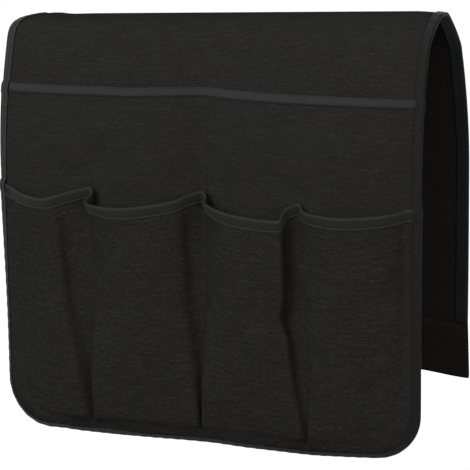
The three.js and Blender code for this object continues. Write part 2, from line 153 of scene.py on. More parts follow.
def along(points: Grid, axis: int = 0) -> np.ndarray:
    """Length run along a grid of points.

    Args:
        points: The grid.
        axis: 0 to run down its columns, 1 to run along its rows.

    Returns:
        The length up to each point, from 0 at the first row or column.
    """
    gaps = np.linalg.norm(np.diff(points, axis=axis), axis=-1)
    start = np.zeros_like(np.take(gaps, [0], axis=axis))
    return np.concatenate([start, np.cumsum(gaps, axis=axis)], axis=axis)


def normals(points: Grid) -> Grid:
    """Unit normals of a grid whose rows run down and columns to the right, seen from outside."""
    return unit(np.cross(np.gradient(points, axis=0), np.gradient(points, axis=1)))


@dataclass(frozen=True)
class Ripples:
    """Shallow waves in hanging cloth, the same at every run."""

    seed: int
    height: float
    shortest: float
    longest: float
    count: int = 9
    upright: float = 0.5

    def at(self, x: np.ndarray, s: np.ndarray) -> np.ndarray:
        """Height of the waves.

        Args:
            x: Place across the cloth.
            s: Place down the cloth.

        Returns:
            Height at each place.
        """
        dice = np.random.RandomState(self.seed)
        total = np.zeros(np.broadcast(x, s).shape)
        for _ in range(self.count):
            length = dice.uniform(self.shortest, self.longest)
            turn = dice.uniform(-1, 1) * (1 - self.upright) * math.pi / 2
            phase = dice.uniform(0, 2 * math.pi)
            wave = 2 * math.pi / length
            total = total + np.sin(wave * (math.cos(turn) * x + math.sin(turn) * s) + phase)
        return self.height * total / math.sqrt(self.count)


@dataclass(frozen=True)
class Crinkle:
    """One soft fold pressed into the cloth, from one place to another on the flap."""

    start: Pair
    end: Pair
    width: float
    height: float
    taper: float = 0.35
    blunt: float = 0.2

    def at(self, x: np.ndarray, z: np.ndarray) -> np.ndarray:
        """Height of the fold.

        Args:
            x: Place across the cloth.
            z: Height on the flap.

        Returns:
            Height at each place.
        """
        a, b = np.array(self.start), np.array(self.end)
        run = b - a
        length = np.linalg.norm(run)
        t = ((x - a[0]) * run[0] + (z - a[1]) * run[1]) / length**2
        aside = ((x - a[0]) * run[1] - (z - a[1]) * run[0]) / length
        ends = smooth(t / self.taper + self.blunt) * smooth((1 - t) / self.taper + self.blunt)
        return self.height * ends * bell(aside / self.width)


def creased(crinkles: Sequence[Crinkle], x: np.ndarray, z: np.ndarray) -> np.ndarray:
    """Height of several folds together at each place (x, z) of the flap."""
    return sum((crinkle.at(x, z) for crinkle in crinkles), np.zeros(np.broadcast(x, z).shape))


# Meshes


@dataclass
class Skin:
    """Collects points, faces and their cloth coordinates, and makes one object of them."""

    name: str
    points: list[np.ndarray] = field(default_factory=list)
    faces: list[np.ndarray] = field(default_factory=list)
    coords: list[np.ndarray] = field(default_factory=list)
    count: int = 0

    def add(self, points: np.ndarray, faces: np.ndarray, coords: np.ndarray) -> None:
        """Adds a closed body.

        Args:
            points: Its points, n x 3, in millimetres.
            faces: Its four-cornered faces, m x 4.
            coords: Cloth coordinates of each face corner, m x 4 x 2, in millimetres.
        """
        a, b, c, d = (points[faces[:, k]] for k in range(4))
        volume = np.einsum("ij,ij->", a, np.cross(b, c)) + np.einsum("ij,ij->", a, np.cross(c, d))
        if volume < 0:
            faces, coords = faces[:, ::-1], coords[:, ::-1]
        self.points.append(points)
        self.faces.append(faces + self.count)
        self.coords.append(coords)
        self.count += len(points)

    def add_slab(self, outer: Grid, inner: Grid, coords: Grid) -> None:
        """Adds a closed skin between two grids of points, joined along their four borders.

        Args:
            outer: Points of the outer face, rows x columns x 3.
            inner: Points of the inner face, the same way.
            coords: Cloth coordinates of each point, rows x columns x 2.
        """
        over = np.arange(outer[..., 0].size).reshape(outer.shape[:2])
        under = over + over.size
        quads = [
            np.stack([over[:-1, :-1], over[1:, :-1], over[1:, 1:], over[:-1, 1:]], -1),
            np.stack([under[:-1, :-1], under[:-1, 1:], under[1:, 1:], under[1:, :-1]], -1),
        ]
        for border in ((0, slice(None, None, -1)), (-1,), (slice(None), 0), (slice(None, None, -1), -1)):
            top, low = over[border], under[border]
            quads.append(np.stack([top[1:], top[:-1], low[:-1], low[1:]], -1))
        faces = np.concatenate([quad.reshape(-1, 4) for quad in quads])
        flat = np.concatenate([coords.reshape(-1, 2)] * 2)
        self.add(np.concatenate([outer.reshape(-1, 3), inner.reshape(-1, 3)]), faces, flat[faces])

    def add_loft(self, rings: np.ndarray, coords: np.ndarray) -> None:
        """Adds a small closed body through rings of points, with its two ends closed by faces.

        Args:
            rings: Rings of points, rings x around x 3.
            coords: Cloth coordinates of the whole body, one pair.
        """
        count, around = rings.shape[:2]
        place = np.arange(count * around).reshape(count, around)
        turned = np.roll(place, -1, axis=1)
        quads = np.stack([place[:-1], turned[:-1], turned[1:], place[1:]], -1).reshape(-1, 4)
        caps = [
            [ring[k + 1], ring[k], ring[-1 - k], ring[-2 - k]]
            for ring in (place[0], place[-1][::-1])
            for k in range(around // 2 - 1)
        ]
        faces = np.concatenate([quads, np.array(caps)])
        self.add(rings.reshape(-1, 3), faces, np.broadcast_to(coords, (len(faces), 4, 2)))

    def build(self, material: bpy.types.Material, slot: Slot, crease: float = 48.0) -> bpy.types.Object:
        """Makes the object.

        Args:
            material: Its finish.
            slot: The record's material slot; not used.
            crease: Angle in degrees over which an edge is sharp.

        Returns:
            The object, linked to the scene.
        """
        mesh = bpy.data.meshes.new(self.name)
        points, faces = np.concatenate(self.points) * MM, np.concatenate(self.faces)
        mesh.from_pydata(points.tolist(), [], faces.tolist())
        layer = mesh.uv_layers.new(name=CLOTH_MAP)
        layer.data.foreach_set("uv", (np.concatenate(self.coords) * MM).astype(np.float32).ravel())
        mesh.shade_smooth()
        mesh.set_sharp_from_angle(angle=math.radians(crease))
        mesh.materials.append(material)
        mesh.validate()
        made = bpy.data.objects.new(self.name, mesh)
        bpy.context.scene.collection.objects.link(made)
        return made


def coords_of(points: Grid, across: np.ndarray | None = None) -> Grid:
    """Cloth coordinates of a grid: how far the cloth runs across and down, measured on the cloth.

    Args:
        points: Middle of the cloth, rows x columns x 3.
        across: Place across of each column, where it isn't to be measured.

    Returns:
        Coordinates, rows x columns x 2.
    """
    down = along(points, 0)
    right = along(points, 1) if across is None else np.broadcast_to(across, down.shape)
    return stacked(right, -down)


# The line that the long sheet hangs in


@dataclass(frozen=True)
class Curl:
    """How the front flap's edge rolls backward: whole turns in degrees by height or by place across."""

    left: Line
    bottom: Line
    right: Line
    reach: float = 10.0
    give: float = 1.0
    least: float = 0.5

    def degrees(self, x: np.ndarray, z: np.ndarray | float) -> np.ndarray:
        """Turn of the left or the right edge at a height."""
        return np.where(x < 0, read(self.left, z), read(self.right, z))

    def rolled(self, inward: np.ndarray, height: np.ndarray, degrees: np.ndarray) -> tuple:
        """Places near an edge once it is rolled.

        Args:
            inward: Distance in from the edge.
            height: Distance outward from the middle of the sheet.
            degrees: Turn at the edge.

        Returns:
            The new distance in from the edge and the new height.
        """
        turn = np.radians(np.maximum(degrees, self.least))
        radius = self.reach / turn
        part = np.clip((self.reach - inward) / self.reach, 0.0, 1.1) * turn
        new_inward = self.reach - (radius + height) * np.sin(part)
        new_inward = new_inward - self.give * turn**2 * smooth(part / turn)
        new_height = (radius + height) * np.cos(part) - radius
        return np.where(part > 0, new_inward, inward), np.where(part > 0, new_height, height)


@dataclass(frozen=True)
class Flap:
    """One half of the body sheet: from the ridge over its shoulder and down its side of the arm.

    Each drift says how far the cloth is out of true: the left and right edge aside by height, the foot
    upward by place across. The hem's lift and the ripples fade in over the spans beside them.
    """

    side: Side
    body: str
    drop: float
    hinge: Pair
    hang: Pair
    reach_left: float
    reach_right: float
    kick: float = 0.0
    kick_height: float = 46.0
    width: float = 350.0
    ridge_rise: float = 9.6
    ridge_strip: float = 12.0
    sheet_thickness: float = 1.4
    shoulder_reach: float = 10.0
    narrowing: float = 1.6
    ridge_sink: Line = (
        (-175, 2.1), (-163, 0.6), (-155, 0.1), (-148, 0.8), (-140, 1.3), (-120, 1.0), (150, 0.8), (163, 1.5),
        (175, 2.6),
    )
    corner_left: float = 40.0
    corner_right: float = 34.0
    left_drift: Line = ((-400, 0.0), (0, 0.0))
    right_drift: Line = ((-400, 0.0), (0, 0.0))
    foot_drift: Line = ((-175, 0.0), (175, 0.0))
    foot_reach: float = 80.0
    hem_lift: float = 0.0
    lift_across: Pair = (1.02, 0.72)
    lift_down: Pair = (-130.0, -240.0)
    ripples: Ripples = Ripples(seed=11, height=0.35, shortest=70, longest=190)
    ripples_down: Pair = (10.0, 70.0)
    curl: Curl | None = None

    def line(self, z: np.ndarray) -> tuple[np.ndarray, np.ndarray]:
        """The line that the sheet's middle hangs in.

        Args:
            z: Height.

        Returns:
            Place y of the sheet's middle, and its slope there.
        """
        (hinge_y, hinge_z), (hang_y, hang_z) = self.hinge, self.hang
        bend = np.maximum(0.0, z - hang_z)
        curve = (hinge_y - hang_y) / (hinge_z - hang_z) ** 2
        kick_top, kick = self.kick_height - self.drop, self.kick / self.kick_height
        y = hang_y + curve * bend**2 + kick * np.maximum(0.0, kick_top - z)
        return y, 2 * curve * bend - np.where(z < kick_top, kick, 0.0)

    def place(self, x: np.ndarray, z: np.ndarray, h: np.ndarray | float) -> Grid:
        """Points of the hanging part.

        Args:
            x: Place across the cloth.
            z: Height.
            h: Distance outward from the middle of the sheet.

        Returns:
            Points, with the shape of the places and 3.
        """
        x, z, h = np.broadcast_arrays(np.asarray(x, float), z, h)
        if self.curl is not None:
            x, z, h = self.curled(x, z, h)
        drift = self.drift(x, z)
        z = z + read(self.foot_drift, x) * fade(z, self.foot_reach - self.drop, -self.drop)
        lift = fade(np.abs(2 * x / self.width), *self.lift_across) * fade(z, *self.lift_down)
        z = z + self.hem_lift * lift
        y, slope = self.line(z)
        h = h + self.ripples.at(x, z) * fade(self.hinge[1] - z, *self.ripples_down)
        length = np.hypot(1.0, slope)
        narrowed = x * (1 + (2 * self.narrowing / self.width) * (z / self.drop)) + drift
        side = int(self.side)
        return stacked(narrowed, y + side * h / length, z - side * h * slope / length)

    def radius(self, x: np.ndarray | float) -> np.ndarray:
        """Radius of the lower corner on the side of x."""
        return np.where(np.asarray(x) < 0, self.corner_left, self.corner_right)

    def inward(self, x: np.ndarray, z: np.ndarray) -> tuple[np.ndarray, np.ndarray, np.ndarray]:
        """Distance in from the round-cornered outline, and the direction out to it.

        Args:
            x: Place across the cloth.
            z: Height.

        Returns:
            The distance, up to the corner's radius, and the direction's x and z.
        """
        radius = self.radius(x)
        aside = np.maximum(0.0, np.abs(x) - (self.width / 2 - radius)) * np.sign(x)
        below = np.maximum(0.0, radius - self.drop - z)
        reach = np.hypot(aside, below)
        return radius - reach, aside / np.maximum(reach, 1e-6), -below / np.maximum(reach, 1e-6)

    def drift(self, x: np.ndarray, z: np.ndarray | float) -> np.ndarray:
        """How far the cloth is pulled aside near its left and right edges."""
        share = x / (self.width / 2)
        return read(self.left_drift, z) * smooth(-share) + read(self.right_drift, z) * smooth(share)

    def turned(self, x: np.ndarray, z: np.ndarray) -> tuple[np.ndarray, tuple]:
        """How much the edge nearest to a place is rolled.

        Args:
            x: Place across the cloth.
            z: Height.

        Returns:
            The turn in degrees, and the distance in from the edge with the direction out to it.
        """
        inward, out_x, out_z = self.inward(x, z)
        degrees = self.curl.degrees(x, z) * out_x**2 + read(self.curl.bottom, x) * out_z**2
        return degrees, (inward, out_x, out_z)

    def curled(self, x: np.ndarray, z: np.ndarray, h: np.ndarray) -> tuple:
        """Places of the hanging part once its edge has rolled backward.

        Args:
            x: Place across the flat cloth.
            z: Height on the flat cloth.
            h: Distance outward from the middle of the sheet.

        Returns:
            The same three, rolled.
        """
        degrees, (inward, out_x, out_z) = self.turned(x, z)
        rolled, height = self.curl.rolled(inward, h, degrees)
        shift = inward - rolled
        return x + out_x * shift, z + out_z * shift, height

    def tangent(self) -> np.ndarray:
        """Downward direction of the sheet at the hinge line, as (y, z)."""
        return unit(np.array([-float(self.line(np.array(self.hinge[1]))[1]), -1.0]))

    def shoulder(self, t: float, x: np.ndarray, h: np.ndarray | float) -> Grid:
        """Points over the shoulder.

        Args:
            t: 0 at the ridge strip, 1 at the hinge line; below 0 across the ridge strip, -1 its middle.
            x: Place across the cloth.
            h: Distance outward from the middle of the sheet.

        Returns:
            Points, with the shape of x and 3.
        """
        x, h = np.broadcast_arrays(np.asarray(x, float), h)
        side = int(self.side)
        hinge_y, hinge_z = self.hinge
        ridge_z = self.ridge_rise * x / self.width + self.sheet_thickness / 2 - read(self.ridge_sink, x)
        if self.curl is not None and t > 0:
            degrees = self.curl.degrees(x, hinge_z) * smooth(t)
            inward, h = self.curl.rolled(self.width / 2 - np.abs(x), h, degrees)
            x = np.sign(x) * (self.width / 2 - inward)
        x = x + self.drift(x, hinge_z) * smooth(t)
        strip = side * self.ridge_strip / 2
        if t < 0:
            return stacked(x, strip * (1 + t), ridge_z + h)
        reach = self.reach_left + (self.reach_right - self.reach_left) * (x / self.width + 0.5)
        tangent_y, tangent_z = self.tangent() * self.shoulder_reach
        corners = [
            stacked(strip, ridge_z),
            stacked(strip + side * reach, ridge_z),
            stacked(hinge_y - tangent_y, hinge_z - tangent_z),
            stacked(hinge_y, hinge_z),
        ]
        weights = [(1 - t) ** 3, 3 * t * (1 - t) ** 2, 3 * t * t * (1 - t), t**3]
        point = sum(w * corner for w, corner in zip(weights, corners))
        runs = [3 * (1 - t) ** 2, 6 * t * (1 - t), 3 * t * t]
        run = unit(sum(w * (b - a) for w, a, b in zip(runs, corners, corners[1:])))
        return stacked(x, point[..., 0] - side * run[..., 1] * h, point[..., 1] + side * run[..., 0] * h)

    def shoulder_rows(self, count: int = 22) -> list[float]:
        """Values of t from the middle of the ridge to just above the hinge line."""
        return [-1.0, -0.5, *np.linspace(0, 1, count)[:-1]]

    def blended(self, piece: bpy.types.Object, reach: float = 12.0) -> bpy.types.Object:
        """Bakes a piece's transform into its mesh.

        Args:
            piece: The piece.
            reach: How far above and below the hinge line a bend would reach; not used.

        Returns:
            The same piece.
        """
        down_y, down_z = self.tangent()
        out = -int(self.side) * self.sheet_thickness / 2
        y, z = self.hinge[0] + out * down_z, self.hinge[1] - out * down_y
        start = (0.0, (y - down_y * reach) * MM, (z - down_z * reach) * MM)
        end = (0.0, (y + down_y * reach) * MM, (z + down_z * reach) * MM)
        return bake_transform(piece)


FRONT = Flap(
    side=Side.FRONT,
    body="front_flap",
    drop=332.0,
    hinge=(-40.5, -21.0),
    hang=(-57.5, -124.0),
    reach_left=29.0,
    reach_right=7.0,
    left_drift=(
        (-332, -0.2), (-300, -0.1), (-260, 0.0), (-180, -0.6), (-110, -1.5), (-60, -1.2), (-21, -0.8),
    ),
    right_drift=((-332, -2.9), (-290, -2.2), (-200, -2.7), (-110, -2.2), (-60, -1.7), (-21, -0.8)),
    foot_drift=(
        (-164, -1.0), (-152, -0.2), (-142, 0.9), (-132, 1.5), (-110, 0.7), (-60, 0.7), (0, 1.5), (36, 0.1),
        (84, -0.6), (112, 0.4), (147, 2.4),
    ),
    curl=Curl(
        left=((-300, 84), (-228, 80), (-175, 62), (-105, 36), (-60, 22), (-21, 10)),
        bottom=((-175, 80), (-110, 82), (-85, 66), (-50, 86), (0, 76), (80, 80), (175, 76)),
        right=((-332, 62), (-120, 58), (-60, 46), (-21, 30)),
    ),
)
BACK = Flap(
    side=Side.BACK,
    body="back_flap",
    drop=295.0,
    hinge=(42.5, -27.5),
    hang=(64.5, -125.0),
    reach_left=24.0,
    reach_right=4.0,
    kick=6.0,
    right_drift=((-295, 1.6), (-200, 1.9), (-110, 1.4), (-60, 0.8), (-27.5, 0.6)),
    hem_lift=5.0,
    ripples=Ripples(seed=23, height=0.35, shortest=70, longest=190),
)


@dataclass(frozen=True)
class Pattern:
    """Sizes that several pieces share: how thick the layers are, how wide the tapes, where the rims run."""

    half_width: float = 175.0
    sheet: float = 1.4
    pocket: float = 0.8
    tape: float = 0.5
    gap: float = 0.3
    front_leaf: float = 7.4
    under_leaf: float = 9.5
    tucked: float = 1.2
    divider: float = 2.0
    upper_rim: Line = (
        (-168, -54.5), (-129, -55.8), (-67, -56.0), (-33, -54.6), (-2, -52.8), (2, -52.8), (14, -53.9),
        (27, -54.9), (85, -56.8), (143, -56.9), (172, -55.9),
    )
    lower_rim_ends: Pair = (-131.8, -135.3)
    upper_depth: float = 9.0
    upper_swell: float = 2.2
    crown_power: float = 3.0
    upper_rim_leaf: float = 7.4
    lower_rim_leaf: float = 8.8
    crinkles: tuple[Crinkle, ...] = (
        Crinkle((-140, -112), (-96, -126), 7.0, -1.3),
        Crinkle((-30, -122), (34, -130), 8.0, -1.2),
        Crinkle((48, -112), (96, -132), 7.0, -1.3),
        Crinkle((110, -96), (150, -88), 9.0, 0.8),
        Crinkle((-110, -84), (-52, -92), 10.0, 0.7),
    )

    @property
    def floor(self) -> float:
        """Height of the first layer over the middle of the sheet."""
        return self.sheet / 2 + self.gap

    @property
    def layer(self) -> float:
        """Height that one pocket layer adds."""
        return self.pocket + self.gap

    @property
    def inset(self) -> float:
        """How far the sheet's raw edge lies in from the outside of its tape."""
        return self.tape + self.gap

    @property
    def sewn_x(self) -> float:
        """Where the pockets come out from under the side tape."""
        return self.half_width - self.front_leaf - 2 * self.gap - self.divider

    def outline(self, x: np.ndarray, inset: float) -> np.ndarray:
        """The front flap's lower outline.

        Args:
            x: Place across the flap.
            inset: How far the line is moved inward.

        Returns:
            Its height at x.
        """
        corner = FRONT.radius(x)
        beyond = np.maximum(0.0, np.abs(x) - (self.half_width - corner))
        return -(FRONT.drop - corner + np.sqrt(np.maximum(0.0, (corner - inset) ** 2 - beyond**2)))

    def columns(self, reach: float, step: float, turns: int) -> np.ndarray:
        """Places across the front flap, closer at its round corners.

        Args:
            reach: Half of the width that they cover.
            step: Distance between them where the flap's foot is straight.
            turns: How many lie over each corner.

        Returns:
            The places, in rising order.
        """
        share = np.sin(np.linspace(0, math.pi / 2, turns))
        left, right = (self.half_width - float(FRONT.radius(end)) for end in End)
        middle = np.linspace(-left, right, int((left + right) / step))
        outer_left, outer_right = (corner + (reach - corner) * share for corner in (left, right))
        return np.concatenate([-outer_left[::-1], middle[1:-1], outer_right])

    def foot(self, x: np.ndarray) -> np.ndarray:
        """Height at which the pocket panels go under the bottom tape."""
        return self.outline(x, self.front_leaf + 2 * self.gap)

    def rims(self, x: float) -> tuple[tuple[float, float], tuple[float, float]]:
        """The two rims of the pockets.

        Args:
            x: Place across the flap.

        Returns:
            Height of the upper and of the lower rim there, each with its tape's leaf.
        """
        first, last = self.lower_rim_ends
        lower = first + (last - first) * (x / (2 * self.half_width) + 0.5)
        return (float(read(self.upper_rim, x)), self.upper_rim_leaf), (lower, self.lower_rim_leaf)

    def upper_middle(self, x: np.ndarray, z: np.ndarray) -> np.ndarray:
        """How far the upper panel stands out.

        Args:
            x: Place across the flap.
            z: Height.

        Returns:
            Height of its middle over the middle of the sheet.
        """
        rim, foot = read(self.upper_rim, x), self.foot(x)
        share = np.clip((z - foot) / (rim - foot), 0, 1)
        swell = 1 - (1 - share) ** self.upper_swell
        place = np.clip((np.abs(x) - self.divider) / (self.sewn_x - self.divider), 0, 1)
        crown = 1 - np.abs(2 * place - 1) ** self.crown_power
        soft = creased(self.crinkles, x, z) * smooth(crown * 4)
        return self.floor + self.pocket / 2 + self.upper_depth * crown * swell + soft


PATTERN = Pattern()


# Cloth panels


@dataclass
class Panel:
    """A layer of cloth as a grid of points in its middle, which tapes and seams are laid on."""

    middle: Grid
    thickness: float

    def __post_init__(self) -> None:
        """Works out the normals and the run of the cloth down its columns."""
        self.out = normals(self.middle)
        self.run = along(self.middle, 0)

    def at(self, s: float, h: float, columns: slice = slice(None)) -> np.ndarray:
        """One line of points across the cloth.

        Args:
            s: How far below the upper edge; less than 0 is above it.
            h: Distance outward from the middle of the cloth.
            columns: Which columns.

        Returns:
            Points, columns x 3.
        """
        line = []
        columnwise = (part[:, columns].swapaxes(0, 1) for part in (self.middle, self.out, self.run))
        for middle, out, run in zip(*columnwise):
            if s < 0:
                line.append(middle[0] - s * unit(middle[0] - middle[1]) + h * out[0])
                continue
            i = min(int(np.searchsorted(run, s, side="right")) - 1, len(run) - 2)
            t = (s - run[i]) / (run[i + 1] - run[i])
            normal = unit(out[i] * (1 - t) + out[i + 1] * t)
            line.append(middle[i] * (1 - t) + middle[i + 1] * t + h * normal)
        return np.array(line)

    def skin(self, name: str, coords: Grid) -> Skin:
        """The cloth itself.

        Args:
            name: Its piece's name.
            coords: Cloth coordinates of its points.

        Returns:
            A closed skin.
        """
        skin = Skin(name)
        half = self.thickness / 2
        skin.add_slab(self.middle + half * self.out, self.middle - half * self.out, coords)
        return skin


@dataclass(frozen=True)
class TapeFold:
    """Section of a binding tape folded over an edge, from the end of its front leaf to its under leaf."""

    front_leaf: float
    under_leaf: float
    thickness: float = 0.5
    stitch_inset: float = 1.4
    lip: float = 0.22

    @property
    def seam(self) -> float:
        """How far in from the fold the tape is sewn."""
        return self.front_leaf - self.stitch_inset

    def section(self, front: float, under: float) -> tuple[np.ndarray, np.ndarray]:
        """The section's outer and inner line.

        Args:
            front: Height of the layers in front of the edge's middle.
            under: Height of the layers behind it.

        Returns:
            Outer and inner points as (inward, height), row by row.
        """
        turn = min(1.0, (front + under) / 2)
        top, low = front + self.thickness, under + self.thickness
        leaf, under_leaf, seam = self.front_leaf, self.under_leaf, self.seam
        lip, t = self.lip, self.thickness
        rows = [
            (leaf, top + lip, leaf, front + lip * 0.6),
            (leaf - 0.45, top + lip, leaf - 0.45, front + lip * 0.6),
            (leaf - 1.0, top + lip * 0.4, leaf - 1.0, front),
            (seam + 0.55, top + 0.08, seam + 0.55, front),
            (seam, top - 0.08, seam, front),
            (seam - 0.55, top + 0.08, seam - 0.55, front),
            (seam * 0.7, top + 0.18, seam * 0.7, front),
            (seam * 0.42, top + 0.14, seam * 0.42, front),
            (turn * 1.1, top + 0.02, turn * 1.1 + t * 0.6, front),
            (turn * 0.35, top - turn * 0.3, turn * 0.35 + t * 0.8, front - turn * 0.2),
            (0.0, top - turn * 0.95, t, front - turn * 0.7),
            (0.0, turn * 0.95 - low, t, turn * 0.7 - under),
            (turn * 0.35, turn * 0.3 - low, turn * 0.35 + t * 0.8, turn * 0.2 - under),
            (turn * 1.1, -low, turn * 1.1 + t * 0.6, -under),
            *((under_leaf * part, -low - 0.08, under_leaf * part, -under) for part in (0.35, 0.6, 0.85)),
            (under_leaf, -low - lip * 0.5, under_leaf, -under - lip * 0.3),
        ]
        return tuple(np.hsplit(np.array(rows), 2))


@dataclass(frozen=True)
class Seam:
    """A row of machine stitches.

    Rise and swell say how each one lifts from the cloth and thickens along its length; sunk is how deep
    the row lies in a tape.
    """

    pitch: float = 3.1
    length: float = 2.3
    thickness: float = 0.42
    rise: tuple[float, ...] = (-0.22, 0.2, 0.34, 0.2, -0.22)
    swell: tuple[float, ...] = (0.55, 0.95, 1.0, 0.95, 0.55)
    around: int = 6
    sunk: float = 0.05

    def sew(self, name: str, *lines: tuple[np.ndarray, np.ndarray]) -> Skin:
        """Sews along lines.

        Args:
            name: Name of the stitches' piece.
            lines: For each line the points on the sewn surface and the normals there, both n x 3.

        Returns:
            The stitches.
        """
        skin = Skin(name)
        angles = np.linspace(0, 2 * math.pi, self.around + 1)[:-1, None]
        radius = (self.thickness / 2) * np.array(self.swell)[:, None, None]
        for line in lines:
            run = along(line[0])
            for middle in np.arange(self.pitch / 2, run[-1] - self.pitch / 2, self.pitch):
                places = middle + np.linspace(-0.5, 0.5, len(self.rise)) * self.length
                point, out = (
                    np.stack([np.interp(places, run, part) for part in values.T], -1) for values in line
                )
                out = unit(out)
                aside = unit(np.cross(np.gradient(point, axis=0), out))
                ring = aside[:, None] * np.cos(angles) + out[:, None] * np.sin(angles)
                rings = (point + out * np.array(self.rise)[:, None])[:, None] + radius * ring
                skin.add_loft(rings, np.array([middle, 0.0]))
        return skin


# Finishes


def linear(level: float) -> float:
    """A written colour level from 0 to 255 as linear light."""
    share = level / 255
    return share / 12.92 if share <= 0.04045 else ((share + 0.055) / 1.055) ** 2.4


def colour(levels: Triple) -> tuple[float, float, float, float]:
    """A written colour as a node takes it."""
    return (*(linear(level) for level in levels), 1.0)


def step(operation: str, swapped: bool = False) -> Callable[["Wire", object], "Wire"]:
    """A method that adds one step of arithmetic to a tree; swapped puts the wire second."""
    return lambda wire, other: wire.nodes.math(operation, *((other, wire) if swapped else (wire, other)))


@dataclass(frozen=True)
class Wire:
    """An output in a node tree, which arithmetic can be written with."""

    nodes: "Nodes"
    socket: bpy.types.NodeSocket

    __add__ = __radd__ = step("ADD")
    __mul__ = __rmul__ = step("MULTIPLY")
    __sub__, __rsub__ = step("SUBTRACT"), step("SUBTRACT", swapped=True)
    __truediv__ = step("DIVIDE")

    def __abs__(self) -> "Wire":
        """Its value without the sign."""
        return self.nodes.math("ABSOLUTE", self)


@dataclass(frozen=True)
class Nodes:
    """A node tree that is written as a list of steps."""

    tree: bpy.types.NodeTree

    def put(self, socket: bpy.types.NodeSocket, value: object) -> None:
        """Gives a socket its value.

        Args:
            socket: An input.
            value: A wire to link to it, or a plain value.
        """
        if isinstance(value, Wire):
            self.tree.links.new(value.socket, socket)
        else:
            socket.default_value = value

    def add(self, kind: str, values: dict | None = None, **settings: object) -> bpy.types.Node:
        """Adds a node.

        Args:
            kind: Its type.
            values: Wires and plain values of its inputs, by name or number.
            settings: Its properties.

        Returns:
            The node.
        """
        node = self.tree.nodes.new(kind)
        for name, setting in settings.items():
            setattr(node, name, setting)
        for key, value in (values or {}).items():
            self.put(node.inputs[key], value)
        return node

    def wire(self, kind: str, values: dict | None = None, output: int | str = 0, **settings: object) -> Wire:
        """Adds a node and gives one of its outputs."""
        return Wire(self, self.add(kind, values, **settings).outputs[output])

    def math(self, operation: str, *values: object) -> Wire:
        """A step of arithmetic."""
        return self.wire("ShaderNodeMath", dict(enumerate(values)), operation=operation)

    def vector(self, operation: str, *values: object) -> Wire:
        """A step of arithmetic on vectors."""
        return self.wire("ShaderNodeVectorMath", dict(enumerate(values)), operation=operation)

    def millimetres(self, vector: Wire) -> Wire:
        """A place in metres turned into millimetres."""
        return self.vector("MULTIPLY", vector, (1 / MM,) * 3)

    def split(self, vector: Wire) -> list[Wire]:
        """The three parts of a vector."""
        return [Wire(self, out) for out in self.add("ShaderNodeSeparateXYZ", {0: vector}).outputs]

    def noise(self, vector: Wire, scale: float, detail: float = 2.0, rough: float = 0.5) -> Wire:
        """A noise between 0 and 1 at a vector's place."""
        values = {"Vector": vector, "Scale": scale, "Detail": detail, "Roughness": rough}
        return self.wire("ShaderNodeTexNoise", values)

    def ramp(self, value: Wire, low: float, high: float) -> Wire:
        """A smooth step from 0 to 1 while a value goes from low to high."""
        values = {"Value": value, "From Min": low, "From Max": high}
        return self.wire("ShaderNodeMapRange", values, interpolation_type="SMOOTHSTEP")

    def seen(self) -> Wire:
        """Which rays see the background.

        Returns:
            1 where a ray comes straight from the camera, from a mirror or through glass, else 0.
        """
        rays, kinds = self.add("ShaderNodeLightPath").outputs, ("Camera", "Glossy", "Transmission")
        camera, glossy, clear = (Wire(self, rays[f"Is {kind} Ray"]) for kind in kinds)
        return self.math("MAXIMUM", self.math("MAXIMUM", camera, glossy), clear)


class Effect:
    """A shader node group with named inputs and outputs, built once and placed in several materials.

    An input is a number with this value at first, or a vector where that is None.
    """

    name = "effect"
    inputs: dict[str, float | None] = {}
    outputs: tuple[str, ...] = ()

    def __init__(self) -> None:
        """Makes the group and its sockets, and writes its nodes."""
        self.tree = bpy.data.node_groups.new(self.name, "ShaderNodeTree")
        for name, default in self.inputs.items():
            kind = "NodeSocketVector" if default is None else "NodeSocketFloat"
            socket = self.tree.interface.new_socket(name, in_out="INPUT", socket_type=kind)
            if default is not None:
                socket.default_value = default
        for name in self.outputs:
            self.tree.interface.new_socket(name, in_out="OUTPUT", socket_type="NodeSocketFloat")
        nodes = Nodes(self.tree)
        given = nodes.add("NodeGroupInput").outputs
        made = self.write(nodes, *(Wire(nodes, given[name]) for name in self.inputs))
        nodes.add("NodeGroupOutput", dict(zip(self.outputs, made)))

    def write(self, nodes: Nodes, *given: Wire) -> tuple[Wire, ...]:
        """Writes the group's nodes from its inputs to its outputs, in order."""
        raise NotImplementedError

    def place(self, nodes: Nodes, **values: object) -> list[Wire]:
        """Places the group in a material.

        Args:
            nodes: The material's tree.
            values: The group's inputs there.

        Returns:
            Its outputs, in order.
        """
        node = nodes.add("ShaderNodeGroup", node_tree=self.tree)
        for name, value in values.items():
            nodes.put(node.inputs[name], value)
        return [Wire(nodes, node.outputs[name]) for name in self.outputs]


class PlainWeave(Effect):
    """Threads that pass over and under each other, with thick and thin places."""

    name = "plain_weave"
    inputs = {"Coordinates": None, "Pitch": 0.62, "Unevenness": 0.3}
    outputs = ("Height",)

    def write(self, nodes: Nodes, coordinates: Wire, pitch: Wire, unevenness: Wire) -> tuple[Wire]:
        """Writes the two sets of threads, one over the other in turn.

        Args:
            nodes: The group's tree.
            coordinates: Cloth coordinates in millimetres.
            pitch: Distance between two threads.
            unevenness: How far the threads stray.

        Returns:
            Height of the threads.
        """
        place = nodes.vector("DIVIDE", coordinates, pitch)
        waves = []
        for part, stretch in zip(nodes.split(place), ((0.9, 0.06, 1.0), (0.06, 0.9, 1.0))):
            stray = nodes.noise(nodes.vector("MULTIPLY", place, stretch), 1.0)
            across = part + (stray - 0.5) * unevenness * 4.0
            waves.append(nodes.math("SINE", across * math.pi))
        over = nodes.ramp(waves[0] * waves[1], -0.6, 0.6)
        return (abs(waves[0]) * over + abs(waves[1]) * (1.0 - over),)


